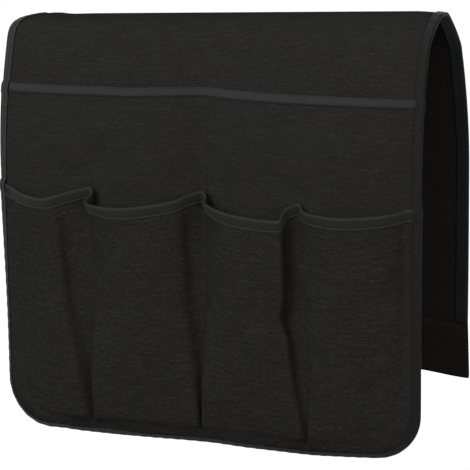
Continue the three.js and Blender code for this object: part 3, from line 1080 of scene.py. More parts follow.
class Slubs(Effect):
    """Thick places that run along single threads: long ones across, shorter ones down, and streaks."""

    name = "slubs"
    inputs = {"Coordinates": None, "Length": 3.4, "Thickness": 1.3}
    outputs = ("Across", "Down", "Streak", "Cloudy")

    def write(self, nodes: Nodes, coordinates: Wire, length: Wire, thickness: Wire) -> tuple[Wire, ...]:
        """Writes three stretched noises and a broad one.

        Args:
            nodes: The group's tree.
            coordinates: Cloth coordinates in millimetres.
            length: Length of a thick place across.
            thickness: Thickness of a thread there.

        Returns:
            The noise across, the one down, the streaks and the broad one.
        """
        x, y, _ = nodes.split(coordinates)
        drawn = []
        for first, second, offset in (
            (x / length, y / thickness, 3.7),
            (x / thickness, y / (length * 0.8), 9.1),
            (x / length / 4.5, y / thickness, 5.3),
        ):
            place = nodes.wire("ShaderNodeCombineXYZ", {0: first, 1: second, 2: offset})
            drawn.append(nodes.noise(place, 1.0, 2.5, 0.55))
        return (*drawn, nodes.noise(coordinates, 0.03, 3.0, 0.5))


class Ribs(Effect):
    """Fine slanting ribs, as of a twill tape or a twisted thread, and the fuzz on them."""

    name = "twill_ribs"
    inputs = {"Coordinates": None, "Pitch": 0.55}
    outputs = ("Height", "Fuzz")

    def write(self, nodes: Nodes, coordinates: Wire, pitch: Wire) -> tuple[Wire, ...]:
        """Writes the ribs and a fine fuzz.

        Args:
            nodes: The group's tree.
            coordinates: Place on the tape in millimetres.
            pitch: Distance between two ribs.

        Returns:
            Height of the ribs, and the fuzz.
        """
        x, y, _ = nodes.split(coordinates)
        turns = (x + y * 0.8) / pitch * (2 * math.pi)
        return nodes.math("SINE", turns) * 0.5 + 0.5, nodes.noise(coordinates, 1.3, 3.0, 0.6)


class PaintedEdgeShading(Effect):
    """Where painted highlight and painted shade go on a folded tape: its cut edge and the line that it is
    folded on.
    """

    name = "painted_edge_shading"
    inputs = {"Coordinates": None, "Leaf": 7.4, "Width": 1.6}
    outputs = ("Edge", "Fold")

    def write(self, nodes: Nodes, coordinates: Wire, leaf: Wire, width: Wire) -> tuple[Wire, ...]:
        """Writes a soft line of a width along the edge, and one along the fold, a leaf away from it."""
        across = nodes.split(coordinates)[1] * -1.0
        return tuple(nodes.ramp(abs(away) / width, 1.0, 0.2) for away in (across, across - leaf))


class Effects:
    """The effects that the materials share."""

    def __init__(self) -> None:
        """Builds each group once."""
        self.weave, self.slubs, self.ribs, self.edge_shading = PlainWeave(), Slubs(), Ribs(), PaintedEdgeShading()


@dataclass(frozen=True)
class Finish:
    """A material: tones between a dark and a light colour, and a surface in relief."""

    name: str
    dark: Triple
    light: Triple
    roughness: float = 0.9
    gloss: float = 0.0
    sheen: float = 0.0
    depth: float = 0.1
    relief: float = 0.5

    def surface(self, nodes: Nodes, effects: Effects) -> tuple[Wire, Wire]:
        """The share of the light colour and the height at each place."""
        raise NotImplementedError

    def place(self, nodes: Nodes) -> Wire:
        """Cloth coordinates in millimetres."""
        return nodes.millimetres(nodes.wire("ShaderNodeUVMap", uv_map=CLOTH_MAP))

    def make(self, effects: Effects) -> bpy.types.Material:
        """Makes the material.

        Args:
            effects: The effects to place in it.

        Returns:
            The material.
        """
        material = bpy.data.materials.new(self.name)
        material.use_nodes = True
        nodes = Nodes(material.node_tree)
        share, height = self.surface(nodes, effects)
        tones = {0: share, 6: colour(self.dark), 7: colour(self.light)}
        relief = {"Strength": self.relief, "Distance": self.depth * MM, "Height": height}
        for name, value in (
            ("Base Color", nodes.wire("ShaderNodeMix", tones, 2, data_type="RGBA")),
            ("Normal", nodes.wire("ShaderNodeBump", relief)),
            ("Roughness", self.roughness),
            ("Specular IOR Level", self.gloss),
            ("Sheen Weight", self.sheen),
        ):
            nodes.put(material.node_tree.nodes["Principled BSDF"].inputs[name], value)
        return material


@dataclass(frozen=True)
class LinenCloth(Finish):
    """Dark cloth in a plain weave with slubs, like linen.

    Each kind of slub has the span of its noise that shows, and its share of the tone.
    """

    name: str = "linen_cloth"
    dark: Triple = (31.4, 31.4, 29.8)
    light: Triple = (56.9, 56.9, 54.4)
    roughness: float = 0.92
    depth: float = 0.16
    relief: float = 0.55
    pitch: float = 0.62
    slub_length: float = 3.0
    slub_thickness: float = 1.05
    across: Triple = (0.28, 0.74, 0.32)
    down: Triple = (0.3, 0.78, 0.28)
    streak: Triple = (0.3, 0.74, 0.19)
    pale: Triple = (0.6, 0.7, 0.17)
    cloudy_share: float = 0.14
    weave_share: float = 0.2
    slub_height: float = 0.9

    def surface(self, nodes: Nodes, effects: Effects) -> tuple[Wire, Wire]:
        """Mixes the slubs of both ways, pale streaks, a cloudy tone and the weave.

        Args:
            nodes: The material's tree.
            effects: The effects to place in it.

        Returns:
            The share of the light colour and the height.
        """
        place = self.place(nodes)
        (weave,) = effects.weave.place(nodes, Coordinates=place, Pitch=self.pitch)
        across, down, streak, cloudy = effects.slubs.place(
            nodes, Coordinates=place, Length=self.slub_length, Thickness=self.slub_thickness
        )
        kinds = ((across, self.across), (down, self.down), (streak, self.streak), (streak, self.pale))
        shown = [nodes.ramp(noise, low, high) * share for noise, (low, high, share) in kinds]
        threads = sum(shown[1:], shown[0])
        tone = threads + cloudy * self.cloudy_share + weave * self.weave_share
        return tone, threads * self.slub_height + weave


@dataclass(frozen=True)
class TwillTape(Finish):
    """Folded binding tape, cooler than the cloth, with painted highlight and painted shade at its edge and
    fold.

    Base, edge and fold change its tone all over, at the cut edge and at the fold: edge and fold paint a
    highlight where above 0 and shade where below 0. The slope of painted light is how much paler it gets
    per metre to the right and upward, as painted light and shade for the way the lamps fall on the object.
    """

    roughness: float = 0.74
    gloss: float = 0.15
    sheen: float = 0.04
    leaf: float = PATTERN.front_leaf
    base: float = 0.0
    # Edge and fold: painted highlight at the cut edge and the fold where above 0, painted shade below 0.
    edge: float = 0.5
    fold: float = 0.5
    # Painted light and shade across the object: how much paler per metre to the right and upward.
    painted_light_slope: Pair | None = None
    pitch: float = 0.55
    slub_length: float = 4.2
    slub_thickness: float = 1.6
    slub_share: float = 0.5
    fuzz_share: float = 0.55
    rib_share: float = 0.12
    # Height in metres at which the upward slope of painted light is zero.
    painted_light_pivot: float = -0.17

    def surface(self, nodes: Nodes, effects: Effects) -> tuple[Wire, Wire]:
        """Mixes ribs, fuzz and slubs; paints light and shade at the edge, the fold and across the object.

        Args:
            nodes: The material's tree.
            effects: The effects to place in it.

        Returns:
            The share of the light colour and the height.
        """
        place = self.place(nodes)
        rib, fuzz = effects.ribs.place(nodes, Coordinates=place, Pitch=self.pitch)
        slub = effects.slubs.place(
            nodes, Coordinates=place, Length=self.slub_length, Thickness=self.slub_thickness
        )[0]
        edge, fold = effects.edge_shading.place(nodes, Coordinates=place, Leaf=self.leaf)
        share = slub * self.slub_share + fuzz * self.fuzz_share + rib * self.rib_share + self.base
        # Painted highlight and painted shade along the cut edge and the fold.
        share = share + edge * self.edge + fold * self.fold
        # Painted light and shade: the tone changes to the right and upward as the lamps fall on the object.
        if self.painted_light_slope is not None:
            x, _, z = nodes.split(nodes.wire("ShaderNodeTexCoord", output="Object"))
            share = share + x * self.painted_light_slope[0] + (z - self.painted_light_pivot) * self.painted_light_slope[1]
        return share, rib + fuzz


@dataclass(frozen=True)
class SewingThread(Finish):
    """Twisted polyester thread."""

    name: str = "sewing_thread"
    dark: Triple = (30.0, 32.0, 32.5)
    light: Triple = (52.0, 54.0, 54.0)
    roughness: float = 0.7
    gloss: float = 0.15
    depth: float = 0.05
    pitch: float = 0.35
    fuzz_share: float = 0.9

    def place(self, nodes: Nodes) -> Wire:
        """Place in the scene in millimetres, because a stitch is too small for cloth coordinates."""
        return nodes.millimetres(nodes.wire("ShaderNodeNewGeometry", output="Position"))

    def surface(self, nodes: Nodes, effects: Effects) -> tuple[Wire, Wire]:
        """Fuzz for its tone and the twist for its height."""
        twist, fuzz = effects.ribs.place(nodes, Coordinates=self.place(nodes), Pitch=self.pitch)
        return fuzz * self.fuzz_share, twist


@dataclass(frozen=True)
class GreyBoard(Finish):
    """Pressed fibre board of the hem stiffener."""

    name: str = "grey_board"
    dark: Triple = (70.0, 70.0, 68.0)
    light: Triple = (104.0, 103.0, 99.0)
    roughness: float = 0.85
    gloss: float = 0.5
    depth: float = 0.08
    relief: float = 0.4

    def surface(self, nodes: Nodes, effects: Effects) -> tuple[Wire, Wire]:
        """Short fibres, for its tone and its height."""
        fibres = effects.slubs.place(nodes, Coordinates=self.place(nodes), Length=3.0, Thickness=0.5)[0]
        return fibres, fibres


class Wardrobe:
    """The finishes of the object's pieces."""

    def __init__(self) -> None:
        """Makes each material once."""
        effects = Effects()
        self.cloth = LinenCloth().make(effects)
        self.pocket_cloth = LinenCloth("pocket_cloth", (23, 23, 21.5), (59.8, 59.8, 57)).make(effects)
        # One black tape in four tones, which paint light and shade on it:
        tapes = (
            # upper rim lighter as painted light, a painted shadow under its edge and shade on its fold;
            TwillTape("rim_tape", (27, 29, 29), (61.5, 64.5, 64.5), edge=-1.6, fold=-0.2),
            # pocket rims darker as painted shade, with painted highlights on the edge and the fold;
            TwillTape(
                "pocket_tape", (13, 14.5, 13), (51, 53.5, 51),
                leaf=PATTERN.lower_rim_leaf, base=-0.27, edge=1.0, fold=0.6,
            ),
            # side and bottom edges with painted shade on the fold, darker to the right and lower down;
            TwillTape("edge_tape", (16, 17, 17), (52.5, 54, 53.5), edge=-0.2, fold=-1.0, painted_light_slope=(-2.4, 1.3)),
            # the back binding a darker copy, painted shade inside the arch, darker lower down.
            TwillTape("back_tape", (13, 17, 20), (30, 36, 41), edge=0.3, fold=0.0, painted_light_slope=(0.0, 2.1)),
        )
        made = [tape.make(effects) for tape in tapes]
        self.rim_tape, self.pocket_tape, self.edge_tape, self.back_tape = made
        self.thread = SewingThread().make(effects)
        self.hem_thread = SewingThread("hem_thread", (50, 54, 58), (76, 80, 86)).make(effects)
        self.dark_thread = SewingThread("dark_thread", (24, 24, 23), (38, 38, 36)).make(effects)
        self.board = GreyBoard().make(effects)


# Sub-assemblies


@dataclass
class BodySheet:
    """The long sheet over the arm, in two halves that meet at the middle of the ridge."""

    hem_height: float = 46.0
    hem_sewn: float = 7.0
    hem_gap: float = 0.1
    stiffener_height: float = 36.0
    channel_radius: float = 1.6
    step: float = 4.5
    turns: int = 11
    roll_start: float = 0.93
    hem_step: float = 2.0
    rows_bent: int = 24
    rows_straight: int = 40
    rows_rolled: int = 11
    rows_back: int = 46
    rows_hem: int = 9
    rows_folded: int = 7
    rows_sewn: int = 3

    @property
    def fold_z(self) -> float:
        """Height at which the hem starts to turn inward."""
        return self.channel_radius - BACK.drop

    def front(self) -> Panel:
        """Front half, from the ridge to the lower outline.

        Returns:
            The panel.
        """
        x = PATTERN.columns(PATTERN.half_width - PATTERN.inset, self.step, self.turns)
        bottom, hang_z = PATTERN.outline(x, PATTERN.inset), FRONT.hang[1]
        straight = np.linspace(0, self.roll_start, self.rows_straight)[:-1]
        shares = (*straight, *np.linspace(self.roll_start, 1, self.rows_rolled))
        levels = [*np.linspace(FRONT.hinge[1], hang_z, self.rows_bent)[:-1]]
        levels += [hang_z + (bottom - hang_z) * share for share in shares]
        rows = [FRONT.shoulder(t, x, 0.0) for t in FRONT.shoulder_rows()]
        return Panel(np.array(rows + [FRONT.place(x, z, 0.0) for z in levels]), PATTERN.sheet)

    def back(self) -> Panel:
        """Back half, from the ridge down, round the hem's fold and up to the hem's sewn edge.

        Returns:
            The panel.
        """
        full, radius, fold_z = PATTERN.half_width, self.channel_radius, self.fold_z
        hem_top = self.hem_height - BACK.drop
        x = PATTERN.columns(full, self.step, self.turns)
        taped = x * (full - PATTERN.inset) / full
        rows = [BACK.shoulder(t, taped, 0.0) for t in BACK.shoulder_rows()]
        above = np.linspace(BACK.hinge[1], hem_top + self.hem_step, self.rows_back)
        rows += [BACK.place(taped, z, 0.0) for z in above]
        hem = [(z, 0.0) for z in np.linspace(hem_top, fold_z, self.rows_hem)]
        for turn in np.linspace(0, math.pi, self.rows_folded)[1:]:
            hem.append((fold_z - radius * math.sin(turn), radius * (math.cos(turn) - 1)))
        channel = np.linspace(fold_z, fold_z + self.stiffener_height, self.rows_folded)[1:]
        hem += [(z, -2 * radius) for z in channel]
        near = -PATTERN.sheet - self.hem_gap
        hem += [(z, near) for z in np.linspace(hem_top - self.hem_sewn / 2, hem_top, self.rows_sewn)]
        return Panel(np.array(rows + [BACK.place(x, z, h) for z, h in hem]), PATTERN.sheet)

    def build(self, finishes: Wardrobe) -> list[bpy.types.Object]:
        """Makes both halves.

        Args:
            finishes: The object's finishes.

        Returns:
            The pieces.
        """
        made = []
        for name, panel, flap, nodes in (
            ("front_sheet", self.front(), FRONT, ("front_panel",)),
            ("back_sheet", self.back(), BACK, ("back_panel", "saddle_panel")),
        ):
            coords = coords_of(panel.middle, panel.middle[0, :, 0])
            coords[..., 1] *= -int(flap.side)
            piece = flap.blended(panel.skin(name, coords).build(finishes.cloth, Slot.CLOTH))
            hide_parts(*nodes)
            made.append(piece)
        return made


@dataclass
class EdgeBinding:
    """Tape folded over the sheet's raw edges, and its stitches.

    It puckers a little along its run, less toward the fold and toward the leaf's free edge, and steps up
    where it runs onto a pocket's rim.
    """

    spacing: float = 2.2
    rows_shoulder: int = 26
    rows_corner: int = 30
    pucker: float = 0.16
    pucker_pitch: float = 9.5
    pucker_stray: float = 23.0
    pucker_fold: float = 1.5
    pucker_edge: Pair = (0.6, 1.2)
    snug: float = 0.85
    rim_step: float = 1.5
    rim_rise: float = 0.7
    rim_rise_top: float = 2.0
    rim_rise_foot: float = 1.0
    back_end: float = 46.5
    fold: TapeFold = TapeFold(PATTERN.front_leaf, PATTERN.under_leaf, stitch_inset=2.6)
    seam: Seam = Seam()

    def leaf_floor(self, x: float, z: float) -> float:
        """Height of the layers under the front leaf.

        Args:
            x: Place across the front flap.
            z: Height on it.

        Returns:
            Height over the middle of the sheet.
        """
        height = PATTERN.floor
        for rim, leaf in PATTERN.rims(x):
            low = rim - leaf
            height += float(fade(z, rim + self.rim_step, rim - self.rim_step)) * PATTERN.layer
            taped = fade(z, rim + self.rim_rise_top, rim)
            taped = taped * fade(z, low - self.rim_rise_foot, low + self.rim_rise_foot)
            height += float(taped) * self.rim_rise
        return height

    def down_side(self, flap: Flap, end: End, bottom: float) -> list[Station]:
        """Stations down one straight edge of a flap.

        Args:
            flap: The flap.
            end: Which of its edges.
            bottom: Height of the last station.

        Returns:
            For each station a function (inward, height), and the height of the layers in front of the
            sheet's middle and behind it.
        """
        edge, inward, floor = int(end) * PATTERN.half_width, -int(end), PATTERN.floor
        stations: list[Station] = []
        for t in flap.shoulder_rows(self.rows_shoulder):
            stations.append((lambda a, h, t=t: flap.shoulder(t, edge + inward * a, h), floor, floor))
        top = flap.hinge[1]
        for z in np.linspace(top, bottom, int((top - bottom) / self.spacing)):
            front = self.leaf_floor(edge, z) if flap.side == Side.FRONT else floor
            stations.append((lambda a, h, z=z: flap.place(edge + inward * a, z, h), front, floor))
        return stations

    def round_corner(self, end: End) -> list[Station]:
        """Stations round one lower corner of the front flap.

        Args:
            end: Which corner.

        Returns:
            The stations, from its side to its bottom.
        """
        radius = float(FRONT.radius(int(end)))
        stations: list[Station] = []
        for turn in np.linspace(0, math.pi / 2, self.rows_corner)[1:]:
            cos, sin = int(end) * math.cos(turn), math.sin(turn)
            x = int(end) * (PATTERN.half_width - radius) + radius * cos
            z = radius * (1 - sin) - FRONT.drop
            place = lambda a, h, x=x, z=z, cos=cos, sin=sin: FRONT.place(x - a * cos, z + a * sin, h)
            stations.append((place, self.leaf_floor(x, z), PATTERN.floor))
        return stations

    def front_stations(self) -> list[Station]:
        """Stations round the front flap.

        Returns:
            The stations, from the ridge's left end to its right end.
        """
        corners = [float(FRONT.radius(int(end))) for end in End]
        left, right = (
            self.down_side(FRONT, end, corner - FRONT.drop) + self.round_corner(end)
            for end, corner in zip(End, corners)
        )
        first, last = corners[0] - PATTERN.half_width, PATTERN.half_width - corners[1]
        bottom: list[Station] = []
        for x in np.linspace(first, last, int((last - first) / self.spacing))[1:-1]:
            place = lambda a, h, x=x: FRONT.place(x, a - FRONT.drop, h)
            bottom.append((place, self.leaf_floor(x, -FRONT.drop), PATTERN.floor))
        return left + bottom + right[::-1]

    def leaf_share(self, flap: Flap, edge: np.ndarray, front: float) -> float:
        """How wide the front leaf is laid: rolling the edge would stretch it.

        Args:
            flap: The flap.
            edge: A point on its edge.
            front: Height of the layers under the leaf.

        Returns:
            The share of the leaf's width.
        """
        if flap.curl is None:
            return 1.0
        turn = math.radians(float(flap.turned(edge[0], edge[2])[0]))
        return 1 / (1 + self.snug * (front + self.fold.thickness) * turn / flap.curl.reach)

    def tape(self, name: str, stations: list[Station], flap: Flap) -> tuple[Skin, Skin]:
        """Lays the tape along stations and sews it.

        Args:
            name: Start of the pieces' names.
            stations: The places that it runs through.
            flap: The flap that it is on.

        Returns:
            The tape and its stitches.
        """
        outer, inner, line, out = [], [], [], []
        fold, start = self.fold, np.zeros(1)
        edge = np.array([place(start, start)[0] for place, _, _ in stations])
        run = along(edge)
        for (place, front, under), s, spot in zip(stations, run, edge):
            turn = 2 * math.pi * s / self.pucker_pitch + math.sin(s / self.pucker_stray)
            over, below = fold.section(front, under)
            share = self.leaf_share(flap, spot, front)
            for section in (over, below):
                section[:, 0] *= np.where(section[:, 1] > 0, share, 1.0)
            inward = over[:, 0]
            past, reach = self.pucker_edge
            weight = smooth(inward / self.pucker_fold)
            weight = weight * smooth((fold.front_leaf * share + past - inward) / reach)
            lift = self.pucker * math.sin(turn) * weight * (over[:, 1] > 0)
            outer.append(place(inward, over[:, 1] + lift))
            inner.append(place(below[:, 0], below[:, 1]))
            heights = np.array([0.0, 1.0]) + front + fold.thickness - self.seam.sunk
            sewn, above = place(np.full(2, fold.seam) * share, heights)
            line.append(sewn)
            out.append(above - sewn)
        skin = Skin(f"{name}_tape")
        across = along(outer[len(outer) // 2])
        skin.add_slab(np.array(outer), np.array(inner), stacked(run[:, None], -across))
        return skin, self.seam.sew(f"{name}_stitches", (np.array(line), np.array(out)))

    def build(self, finishes: Wardrobe) -> list[bpy.types.Object]:
        """Makes the bindings and their stitches.

        Args:
            finishes: The object's finishes.

        Returns:
            The pieces.
        """
        tapes = ("front_edge_binding", "saddle_binding_left", "saddle_binding_right")
        seams = ("front_edge_stitch", "saddle_stitch_left", "saddle_stitch_right")
        jobs = [("front_binding", self.front_stations(), FRONT, finishes.edge_tape, tapes, seams)]
        for end in End:
            label = end.name.lower()
            stations = self.down_side(BACK, end, self.back_end - BACK.drop)
            tapes, seams = (f"back_binding_{label}",), (f"back_stitch_{label}",)
            jobs.append((f"back_binding_{label}", stations, BACK, finishes.back_tape, tapes, seams))
        made = []
        for name, stations, flap, finish, tapes, seams in jobs:
            tape, stitches = self.tape(name, stations, flap)
            piece = flap.blended(tape.build(finish, Slot.TAPE, crease=60))
            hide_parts(*tapes)
            row = flap.blended(stitches.build(finishes.thread, Slot.THREAD))
            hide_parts(*seams)
            made += [piece, row]
        return made


@dataclass(frozen=True)
class RimTape:
    """A tape folded over a pocket panel's upper edge, and its stitches."""

    name: str
    leaf: float
    gap: float = 0.03
    stitch_inset: float = 1.2
    seam: Seam = Seam()

    def build(
        self, panel: Panel, columns: slice, finish: bpy.types.Material, thread: bpy.types.Material
    ) -> list[bpy.types.Object]:
        """Makes both.

        Args:
            panel: The panel.
            columns: Which of its columns the tape covers.
            finish: The tape's finish.
            thread: The stitches' finish.

        Returns:
            The tape and its stitches.
        """
        fold = TapeFold(self.leaf, self.leaf, stitch_inset=self.stitch_inset)
        half, rise = panel.thickness / 2 + self.gap, fold.thickness
        over, below = fold.section(half, half)
        outer, inner = (
            np.stack([panel.at(a - rise, h, columns) for a, h in part], 1) for part in (over, below)
        )
        skin = Skin(f"{self.name}_tape_fold")
        skin.add_slab(outer, inner, stacked(along(panel.at(0, 0, columns))[:, None], -along(over)))
        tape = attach(skin.build(finish, Slot.TAPE, crease=60), FRONT.body)
        top = half + rise - self.seam.sunk
        line, above = (panel.at(fold.seam - rise, h, columns) for h in (top, top + 1))
        stitches = self.seam.sew(f"{self.name}_stitches", (line, above - line))
        return [tape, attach(stitches.build(thread, Slot.THREAD), FRONT.body)]


@dataclass
class UpperPockets:
    """The upper panel with its rim tape and the seam that divides it."""

    step: float = 4.0
    turns: int = 12
    seen_to: float = 0.45
    roll_start: float = 0.95
    rows_seen: int = 50
    rows_hidden: int = 18
    rows_rolled: int = 11
    length: float = 280.0
    taped_to: float = 171.0
    divider_head: float = 1.0
    divider_foot: float = 84.0
    divider_points: int = 40
    rim: RimTape = RimTape("upper_rim", PATTERN.upper_rim_leaf)
    seam: Seam = Seam()

    @property
    def shares(self) -> np.ndarray:
        """Rows from the rim to the foot, closer where the panel is seen and where its foot rolls.

        Returns:
            For each row its share of the way.
        """
        seen = np.linspace(0, self.seen_to, self.rows_seen)
        hidden = np.linspace(self.seen_to, self.roll_start, self.rows_hidden)
        return np.concatenate([seen, hidden[1:], np.linspace(self.roll_start, 1, self.rows_rolled)[1:]])

    def panel(self) -> Panel:
        """The upper panel, from its rim to the bottom tape.

        Returns:
            The panel.
        """
        x = PATTERN.columns(PATTERN.half_width - PATTERN.tucked, self.step, self.turns)
        rim, foot = read(PATTERN.upper_rim, x), PATTERN.outline(x, PATTERN.tucked)
        levels = [rim + (foot - rim) * share for share in self.shares]
        rows = [FRONT.place(x, z, PATTERN.upper_middle(x, z)) for z in levels]
        return Panel(np.array(rows), PATTERN.pocket)

    def divider(self, panel: Panel) -> Skin:
        """The seam down the middle.

        Args:
            panel: The upper panel.

        Returns:
            Its stitches.
        """
        middle = panel.middle.shape[1] // 2
        head = PATTERN.upper_rim_leaf + self.divider_head
        runs = np.linspace(head, self.divider_foot, self.divider_points)
        half = PATTERN.pocket / 2
        line, above = (
            np.array([panel.at(s, h, slice(middle, middle + 1))[0] for s in runs]) for h in (half, half + 1)
        )
        return self.seam.sew("upper_divider_stitches", (line, above - line))

    def build(self, finishes: Wardrobe) -> list[bpy.types.Object]:
        """Makes the panel, its tape and its stitches.

        Args:
            finishes: The object's finishes.

        Returns:
            The pieces.
        """
        panel = self.panel()
        x = panel.middle[0, :, 0]
        coords = stacked(x, -self.length * self.shares[:, None])
        piece = panel.skin("upper_panel", coords).build(finishes.cloth, Slot.CLOTH)
        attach(piece, FRONT.body)
        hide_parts("upper_pocket_panel")
        (taped,) = np.nonzero(np.abs(x) < self.taped_to)
        tape, row = self.rim.build(panel, slice(taped[0], taped[-1] + 1), finishes.rim_tape, finishes.thread)
        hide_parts("upper_rim_tape")
        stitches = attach(self.divider(panel).build(finishes.dark_thread, Slot.THREAD), FRONT.body)
        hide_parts("upper_divider_stitch")
        return [piece, tape, row, stitches]


@dataclass(frozen=True)
class Crease:
    """One line down the lower panel at which it turns: a seam, a fold or the crown of a pocket.

    Its path is (height, place across, distance out from the upper panel), rim first. The roundness says
    how far from the line the cloth starts to turn, at the rim and at the foot.
    """

    path: tuple[Triple, ...]
    round_top: float = 3.0
    round_foot: float = 3.0

    def at(self, share: np.ndarray) -> np.ndarray:
        """Points and roundness of the line.

        Args:
            share: Shares of the way from the rim to the foot.

        Returns:
            Height, place across, distance out and roundness at each share, n x 4.
        """
        z, x, d = np.array(self.path).T
        level = (z[0] - z) / (z[0] - z[-1])
        down = z[0] + (z[-1] - z[0]) * share
        turn = self.round_top + (self.round_foot - self.round_top) * share
        return stacked(down, between(level, x, share), between(level, d, share), turn)


LOWER_CREASES = (
    Crease(((-132.4, -172.6, 0.3), (-200, -172.6, 0.3), (-325, -172.6, 0.2))),
    Crease(((-135.4, -168, 0.6), (-200, -168, 0.5), (-325, -168, 0.2)), 3, 3),
    Crease((
        (-140.6, -147, 7.4), (-190, -147, 6.6), (-240, -146, 5), (-290, -145, 2.6), (-325, -144, 0.4),
    ), 18, 20),
    Crease((
        (-141.2, -126.5, 13.6), (-155, -121, 13.2), (-169, -118.2, 12.7), (-194, -116, 12),
        (-222, -114, 10.8), (-254, -110.2, 9.8), (-283, -107, 8.6), (-309, -103.6, 6.8),
        (-325, -100, 2.6),
    ), 7, 2.6),
    Crease((
        (-135.9, -111.1, 8.2), (-155, -112, 5.4), (-169, -112.5, 4), (-194, -111, 2.8),
        (-222, -108.8, 2.2), (-254, -102.8, 1.4), (-283, -100, 0.9), (-309, -98.4, 0.6),
        (-325, -97.6, 0.4),
    ), 7, 2),
    Crease((
        (-130.9, -91, 0.3), (-152, -93.4, 0.3), (-200, -94.6, 0.3), (-260, -95.6, 0.3), (-325, -96, 0.2),
    ), 3, 1.2),
    Crease((
        (-135, -86.8, 5.5), (-150, -89.8, 4.2), (-163, -90, 3), (-190, -89.6, 2.6), (-222, -90.8, 2.8),
        (-254, -93, 3.6), (-283, -94.1, 2.4), (-325, -95.4, 0.6),
    ), 4, 2),
    Crease((
        (-142.4, -93.6, 13.6), (-150, -90.4, 10.6), (-160, -86.6, 8.2), (-175, -84, 7.4),
        (-195, -82.6, 6.9), (-220, -84.6, 7), (-240, -89.2, 7.9), (-256, -92.8, 8.8), (-282, -94.8, 8.6),
        (-308, -95.4, 7.2), (-325, -94.8, 2.4),
    ), 9, 2),
    Crease((
        (-145.6, -62, 15.6), (-190, -60, 15), (-240, -57, 12), (-290, -54, 6.5), (-325, -52, 0.5),
    ), 26, 26),
    Crease((
        (-138.4, -19.5, 11.6), (-164, -15.8, 11.4), (-188, -14.8, 10.9), (-215, -14, 9.8),
        (-247, -10.8, 8.4), (-276, -8.2, 7.4), (-301, -6.8, 6.2), (-325, -5.2, 2.4),
    ), 10, 4),
    Crease((
        (-133, -9.2, 5.2), (-148, -10.4, 3.2), (-165, -10.6, 1.6), (-188, -9.4, 1.5), (-216, -8.6, 1.5),
        (-248, -6.2, 1.8), (-277, -4.9, 1.2), (-325, -4.4, 0.4),
    ), 5, 3),
    Crease(((-131, -0.4, 0.3), (-200, -1.2, 0.3), (-260, -2.6, 0.3), (-325, -3.8, 0.2)), 2.4, 1.2),
    Crease((
        (-134.4, 5.4, 6), (-150, 3.6, 3.6), (-164, 3.8, 2.2), (-188, 3.6, 2.2), (-216, 2.4, 2.6),
        (-248, 0.6, 3.4), (-276, -0.9, 3.2), (-325, -3.2, 0.6),
    ), 4, 2),
    Crease((
        (-138.4, 4.6, 13.4), (-148, 7.2, 9.9), (-160, 10.8, 7.8), (-175, 11.8, 7.6), (-195, 11, 7.4),
        (-214, 8, 7.9), (-238, 4, 8.6), (-260, 1.6, 8.2), (-282, 0, 7.6), (-300, -1.4, 6.6),
        (-325, -2.8, 2.2),
    ), 10, 2),
    Crease((
        (-144.4, 27, 16.2), (-190, 27, 15.4), (-240, 25, 12.2), (-290, 22, 6.6), (-325, 20, 0.5),
    ), 16, 20),
    Crease((
        (-147, 58, 16.6), (-190, 58, 15.8), (-240, 58, 12.8), (-290, 58, 6.8), (-325, 58, 0.5),
    ), 14, 20),
    Crease((
        (-146.6, 73.2, 15.6), (-184, 74.2, 15), (-208, 73.4, 13.4), (-224, 70.2, 12.4),
        (-238, 75.4, 11.4), (-266, 77, 9), (-291, 80.2, 6.9), (-308, 83, 6.4), (-325, 85.2, 2.4),
    ), 2.6, 2),
    Crease((
        (-138.2, 73.6, 8), (-150, 73.6, 4.4), (-160, 73.6, 2.8), (-182, 73.8, 2.5), (-209, 73.4, 2.4),
        (-225, 72.4, 2.3), (-241, 76.6, 2.2), (-268, 79.8, 1.9), (-292, 83.4, 1), (-308, 85.2, 0.7),
        (-325, 86, 0.4),
    ), 3, 2),
    Crease((
        (-134.6, 84, 0.3), (-160, 83.8, 0.3), (-182, 84.2, 0.3), (-210, 85.7, 0.3), (-241, 87, 0.3),
        (-292, 87.3, 0.3), (-325, 86.6, 0.2),
    ), 3, 1.2),
    Crease((
        (-140.8, 88, 6.4), (-158, 92, 5.6), (-181, 94.4, 5.7), (-208, 95, 5.7), (-239, 93.6, 5.1),
        (-267, 91.8, 4.5), (-291, 89.8, 4.4), (-308, 88.4, 3.6), (-325, 87.6, 1.4),
    ), 6, 2),
    Crease((
        (-143.6, 116, 12.6), (-190, 117, 12), (-240, 118, 9.6), (-290, 118, 5.2), (-325, 118, 0.4),
    ), 26, 26),
    Crease((
        (-141.2, 152, 8.6), (-190, 152, 8.2), (-240, 152, 6.2), (-290, 150, 3.2), (-325, 148, 0.3),
    ), 18, 18),
    Crease(((-137, 168, 0.6), (-200, 168, 0.5), (-325, 168, 0.2)), 3, 3),
    Crease(((-136.1, 172.6, 0.3), (-200, 172.6, 0.3), (-325, 172.6, 0.2))),
)


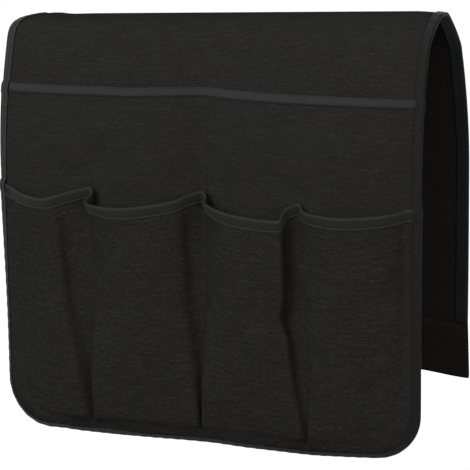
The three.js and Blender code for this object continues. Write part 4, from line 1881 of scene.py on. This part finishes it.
@dataclass
class LowerPockets:
    """One pleated panel that makes the four lower pockets, with its rim tape and three seams."""

    straight: int = 4
    turn: int = 6
    turn_share: float = 0.48
    rim_to: float = 0.08
    roll_start: float = 0.93
    rows_rim: int = 9
    rows_middle: int = 64
    rows_rolled: int = 13
    length: float = 195.0
    foot_z: float = -325.0
    sewn_x: float = 172.6
    sewn_out: float = 0.25
    rest: float = 0.15
    tucked: float = 6.0
    tuck_run: float = 9.0
    loose: Pair = (0.4, 6.4)
    seam_creases: tuple[int, ...] = (5, 11, 18)
    creases: tuple[Crease, ...] = LOWER_CREASES
    rim: RimTape = RimTape("lower_rim", PATTERN.lower_rim_leaf)
    ripples: Ripples = Ripples(seed=5, height=0.22, shortest=22, longest=70, upright=0.2)
    crinkles: tuple[Crinkle, ...] = (
        Crinkle((140, -262), (165, -246), 5.0, 0.9),
        Crinkle((142, -277), (166, -263), 5.0, -0.8),
        Crinkle((132, -214), (164, -204), 7.0, -0.6),
        Crinkle((-168, -214), (-140, -234), 6.0, -0.7),
        Crinkle((-74, -284), (-30, -296), 7.0, -0.6),
    )

    def section(self, corners: np.ndarray, roundness: np.ndarray) -> np.ndarray:
        """One line across the panel, straight between its creases and rounded at each.

        Args:
            corners: Points (z, x, d) of the creases at one level.
            roundness: How far from each crease the cloth starts to turn.

        Returns:
            Points (z, x, d), always the same number.
        """
        run = np.diff(corners, axis=0)
        leg = np.linalg.norm(run[:, 1:], axis=1)
        share_out, share_in = (
            np.minimum(part / leg, self.turn_share)[:, None] for part in (roundness[:-1], roundness[1:])
        )
        share_out[0] = share_in[-1] = 0.0
        starts, ends = corners[:-1] + run * share_out, corners[1:] - run * share_in
        ahead, bend = (np.linspace(0, 1, count + 1)[1:, None] for count in (self.straight, self.turn))
        line = [corners[:1]]
        for i, (start, end) in enumerate(zip(starts, ends)):
            line.append(start + (end - start) * ahead)
            if i + 1 < len(starts):
                crease, after = corners[i + 1], starts[i + 1]
                line.append(end * (1 - bend) ** 2 + 2 * crease * bend * (1 - bend) + after * bend * bend)
        return np.concatenate(line)

    @property
    def shares(self) -> np.ndarray:
        """Rows from the rim to the foot, closer under the rim's tape and where the foot rolls.

        Returns:
            For each row its share of the way.
        """
        rim = np.linspace(0, self.rim_to, self.rows_rim)
        middle = np.linspace(self.rim_to, self.roll_start, self.rows_middle)
        return np.concatenate([rim, middle[1:], np.linspace(self.roll_start, 1, self.rows_rolled)[1:]])

    def panel(self) -> Panel:
        """The pleated panel, from its rim to the bottom tape.

        Returns:
            The panel.
        """
        paths = np.array([crease.at(self.shares) for crease in self.creases])
        rows = []
        for k, share in enumerate(self.shares):
            z, x, d = self.section(paths[:, k, :3], paths[:, k, 3]).T
            x = np.clip(x, -self.sewn_x, self.sewn_x)
            z = z + (PATTERN.outline(x, PATTERN.tucked) - self.foot_z) * share**2
            inward = FRONT.inward(x, z)[0]
            d = self.sewn_out + (d - self.sewn_out) * smooth((inward - self.tucked) / self.tuck_run)
            waves = (self.ripples.at(x, z) + creased(self.crinkles, x, z)) * fade(np.abs(d), *self.loose)
            under = PATTERN.upper_middle(x, z) + PATTERN.pocket + self.rest
            rows.append(FRONT.place(x, z, under + d + waves))
        return Panel(np.array(rows), PATTERN.pocket)

    def coords(self, panel: Panel) -> Grid:
        """Cloth coordinates: threads run level, and upright from each pocket's own middle.

        Args:
            panel: The pleated panel.

        Returns:
            Coordinates, rows x columns x 2.
        """
        right = along(panel.middle, 1)
        level = right[len(right) // 3]
        across = np.empty_like(right)
        seams = [0, *((self.straight + self.turn) * k for k in self.seam_creases), right.shape[1]]
        for first, last in zip(seams, seams[1:]):
            middle = (first + last) // 2
            across[:, first:last] = level[middle] + right[:, first:last] - right[:, middle : middle + 1]
        return stacked(across, -self.length * self.shares[:, None])

    def build(self, finishes: Wardrobe) -> list[bpy.types.Object]:
        """Makes the panel, its tape and its stitches.

        Args:
            finishes: The object's finishes.

        Returns:
            The pieces.
        """
        panel = self.panel()
        skin = panel.skin("lower_panel", self.coords(panel))
        piece = skin.build(finishes.pocket_cloth, Slot.CLOTH, crease=70)
        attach(piece, FRONT.body)
        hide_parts("lower_pocket_panel", "pocket_stitch_1", "pocket_stitch_2", "pocket_stitch_3")
        width = float(along(panel.middle[len(panel.middle) // 3]).max()) * MM
        tape, row = self.rim.build(panel, slice(1, -1), finishes.pocket_tape, finishes.thread)
        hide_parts("lower_rim_tape")
        return [piece, tape, row]


@dataclass
class Hem:
    """The stiffener in the back hem's channel and the hem's stitches."""

    inset: float = 3.2
    margin: float = 1.5
    strip_reach: float = 168.0
    strip_thickness: float = 1.2
    strip_play: float = 0.6
    points: int = 120
    strip_columns: int = 60
    strip_rows: int = 8
    seam: Seam = Seam()

    def stitches(self, sheet: BodySheet) -> Skin:
        """The hem's stitches, on both faces.

        Args:
            sheet: The sheet whose hem it is.

        Returns:
            The stitches.
        """
        reach = PATTERN.half_width - self.margin
        x, z = np.linspace(-reach, reach, self.points), sheet.hem_height - BACK.drop - self.inset
        lines = []
        for h, way in ((PATTERN.sheet / 2, 1.0), (-1.5 * PATTERN.sheet - sheet.hem_gap, -1.0)):
            line = BACK.place(x, z, h)
            lines.append((line, BACK.place(x, z, h + way) - line))
        return self.seam.sew("hem_stitches", *lines)

    def strip(self, sheet: BodySheet) -> Skin:
        """The stiffener, in the middle of the channel.

        Args:
            sheet: The sheet whose hem it is in.

        Returns:
            A closed skin.
        """
        across = np.linspace(-self.strip_reach, self.strip_reach, self.strip_columns)
        low, high = self.strip_play, sheet.stiffener_height - self.strip_play
        levels = sheet.fold_z + np.linspace(low, high, self.strip_rows)
        middle = np.array([BACK.place(across, level, -sheet.channel_radius) for level in levels])
        half = normals(middle) * self.strip_thickness / 2
        skin = Skin("hem_stiffener_strip")
        skin.add_slab(middle + half, middle - half, coords_of(middle))
        return skin

    def build(self, finishes: Wardrobe, sheet: BodySheet) -> list[bpy.types.Object]:
        """Makes the stitches and the stiffener.

        Args:
            finishes: The object's finishes.
            sheet: The sheet whose hem it is.

        Returns:
            The pieces.
        """
        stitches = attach(self.stitches(sheet).build(finishes.hem_thread, Slot.THREAD), BACK.body)
        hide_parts("hem_stitch")
        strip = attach(self.strip(sheet).build(finishes.board, Slot.BOARD), BACK.body)
        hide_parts("hem_stiffener")
        return [stitches, strip]


# Studio


@dataclass(frozen=True)
class Lamp:
    """A soft round lamp that looks at the object: place and size in metres, power in watts."""

    name: str
    place: Triple
    size: float
    power: float
    tint: Triple = (1.0, 1.0, 1.0)
    aim: Triple = (0.0, 0.0, -0.16)

    def build(self) -> None:
        """Adds the lamp."""
        data = bpy.data.lights.new(self.name, "AREA")
        data.color, data.shape, data.size, data.energy = self.tint, "DISK", self.size, self.power
        holder = bpy.data.objects.new(self.name, data)
        bpy.context.scene.collection.objects.link(holder)
        holder.location = self.place
        aim = Vector(self.aim) - Vector(self.place)
        holder.rotation_euler = aim.to_track_quat("-Z", "Y").to_euler()


@dataclass(frozen=True)
class Studio:
    """Camera, lamps, world and floor."""

    camera_place: Triple = (658.31, -1625.34, 155.33)
    target: Triple = (1.63, 0.0, -176.12)
    roll: float = -0.705
    lens: float = 171.59
    sensor: float = 36.0
    sight: float = 50.0
    sky: float = 0.41
    floor_z: float = -780.0
    floor_reach: float = 14000.0
    floor_thickness: float = 20.0
    floor_tone: float = 0.12
    floor_glow: float = 0.97
    lamps: tuple[Lamp, ...] = (
        Lamp("key", (-0.9, -2.25, 1.05), 1.6, 32.9),
        Lamp("fill", (1.9, -1.5, 0.08), 1.2, 7.6, (1.0, 0.88, 0.82)),
        Lamp("rear", (-0.7, 2.4, 0.5), 1.6, 16.0),
    )

    def camera(self) -> None:
        """Sets up the camera at the photograph's angle."""
        data = bpy.data.cameras.new("camera")
        data.lens, data.sensor_width, data.clip_end = self.lens, self.sensor, self.sight
        holder = bpy.data.objects.new("camera", data)
        bpy.context.scene.collection.objects.link(holder)
        place, target = Vector(self.camera_place) * MM, Vector(self.target) * MM
        turn = (place - target).normalized().to_track_quat("Z", "Y").to_matrix().to_4x4()
        roll = Matrix.Rotation(math.radians(self.roll), 4, "Z")
        holder.matrix_world = Matrix.Translation(place) @ turn @ roll
        bpy.context.scene.camera = holder

    def world(self) -> None:
        """A plain grey sky that the camera sees as white."""
        world = bpy.data.worlds.new("studio")
        bpy.context.scene.world = world
        world.use_nodes = True
        nodes = Nodes(world.node_tree)
        sky = world.node_tree.nodes["Background"].inputs
        nodes.put(sky["Color"], (1.0, 1.0, 1.0, 1.0))
        nodes.put(sky["Strength"], nodes.seen() * (1 - self.sky) + self.sky)

    def floor(self) -> None:
        """A floor under the object, as far as the camera sees, that the camera sees as white."""
        x = np.linspace(-self.floor_reach, self.floor_reach, 29)
        grid = stacked(x, -x[:, None], self.floor_z)
        skin = Skin("studio_floor")
        skin.add_slab(grid, grid - np.array([0, 0, self.floor_thickness]), grid[..., :2])
        material = bpy.data.materials.new("studio_floor")
        material.use_nodes = True
        nodes = Nodes(material.node_tree)
        shader = material.node_tree.nodes["Principled BSDF"]
        nodes.put(shader.inputs["Base Color"], (*(self.floor_tone,) * 3, 1.0))
        nodes.put(shader.inputs["Roughness"], 0.9)
        nodes.put(shader.inputs["Specular IOR Level"], 0.0)
        glow = nodes.wire("ShaderNodeEmission", {"Strength": nodes.seen() * self.floor_glow})
        both = nodes.wire("ShaderNodeAddShader", {0: Wire(nodes, shader.outputs[0]), 1: glow})
        nodes.put(material.node_tree.nodes["Material Output"].inputs["Surface"], both)
        skin.build(material, Slot.BOARD)

    def build(self) -> None:
        """Makes the whole studio."""
        self.camera()
        for lamp in self.lamps:
            lamp.build()
        self.world()
        self.floor()
        bpy.context.scene.view_settings.view_transform = "Standard"


def main() -> None:
    """Builds every piece of the organizer and the studio round it."""
    logging.basicConfig(level=logging.INFO, format="%(message)s")
    finishes = Wardrobe()
    sheet = BodySheet()
    made = sheet.build(finishes)
    for sewn in (EdgeBinding(), UpperPockets(), LowerPockets()):
        made += sewn.build(finishes)
    made += Hem().build(finishes, sheet)
    for piece in made:
        log.info("%s: %d faces", piece.name, len(piece.data.polygons))
    Studio().build()


if __name__ == "__main__":
    main()
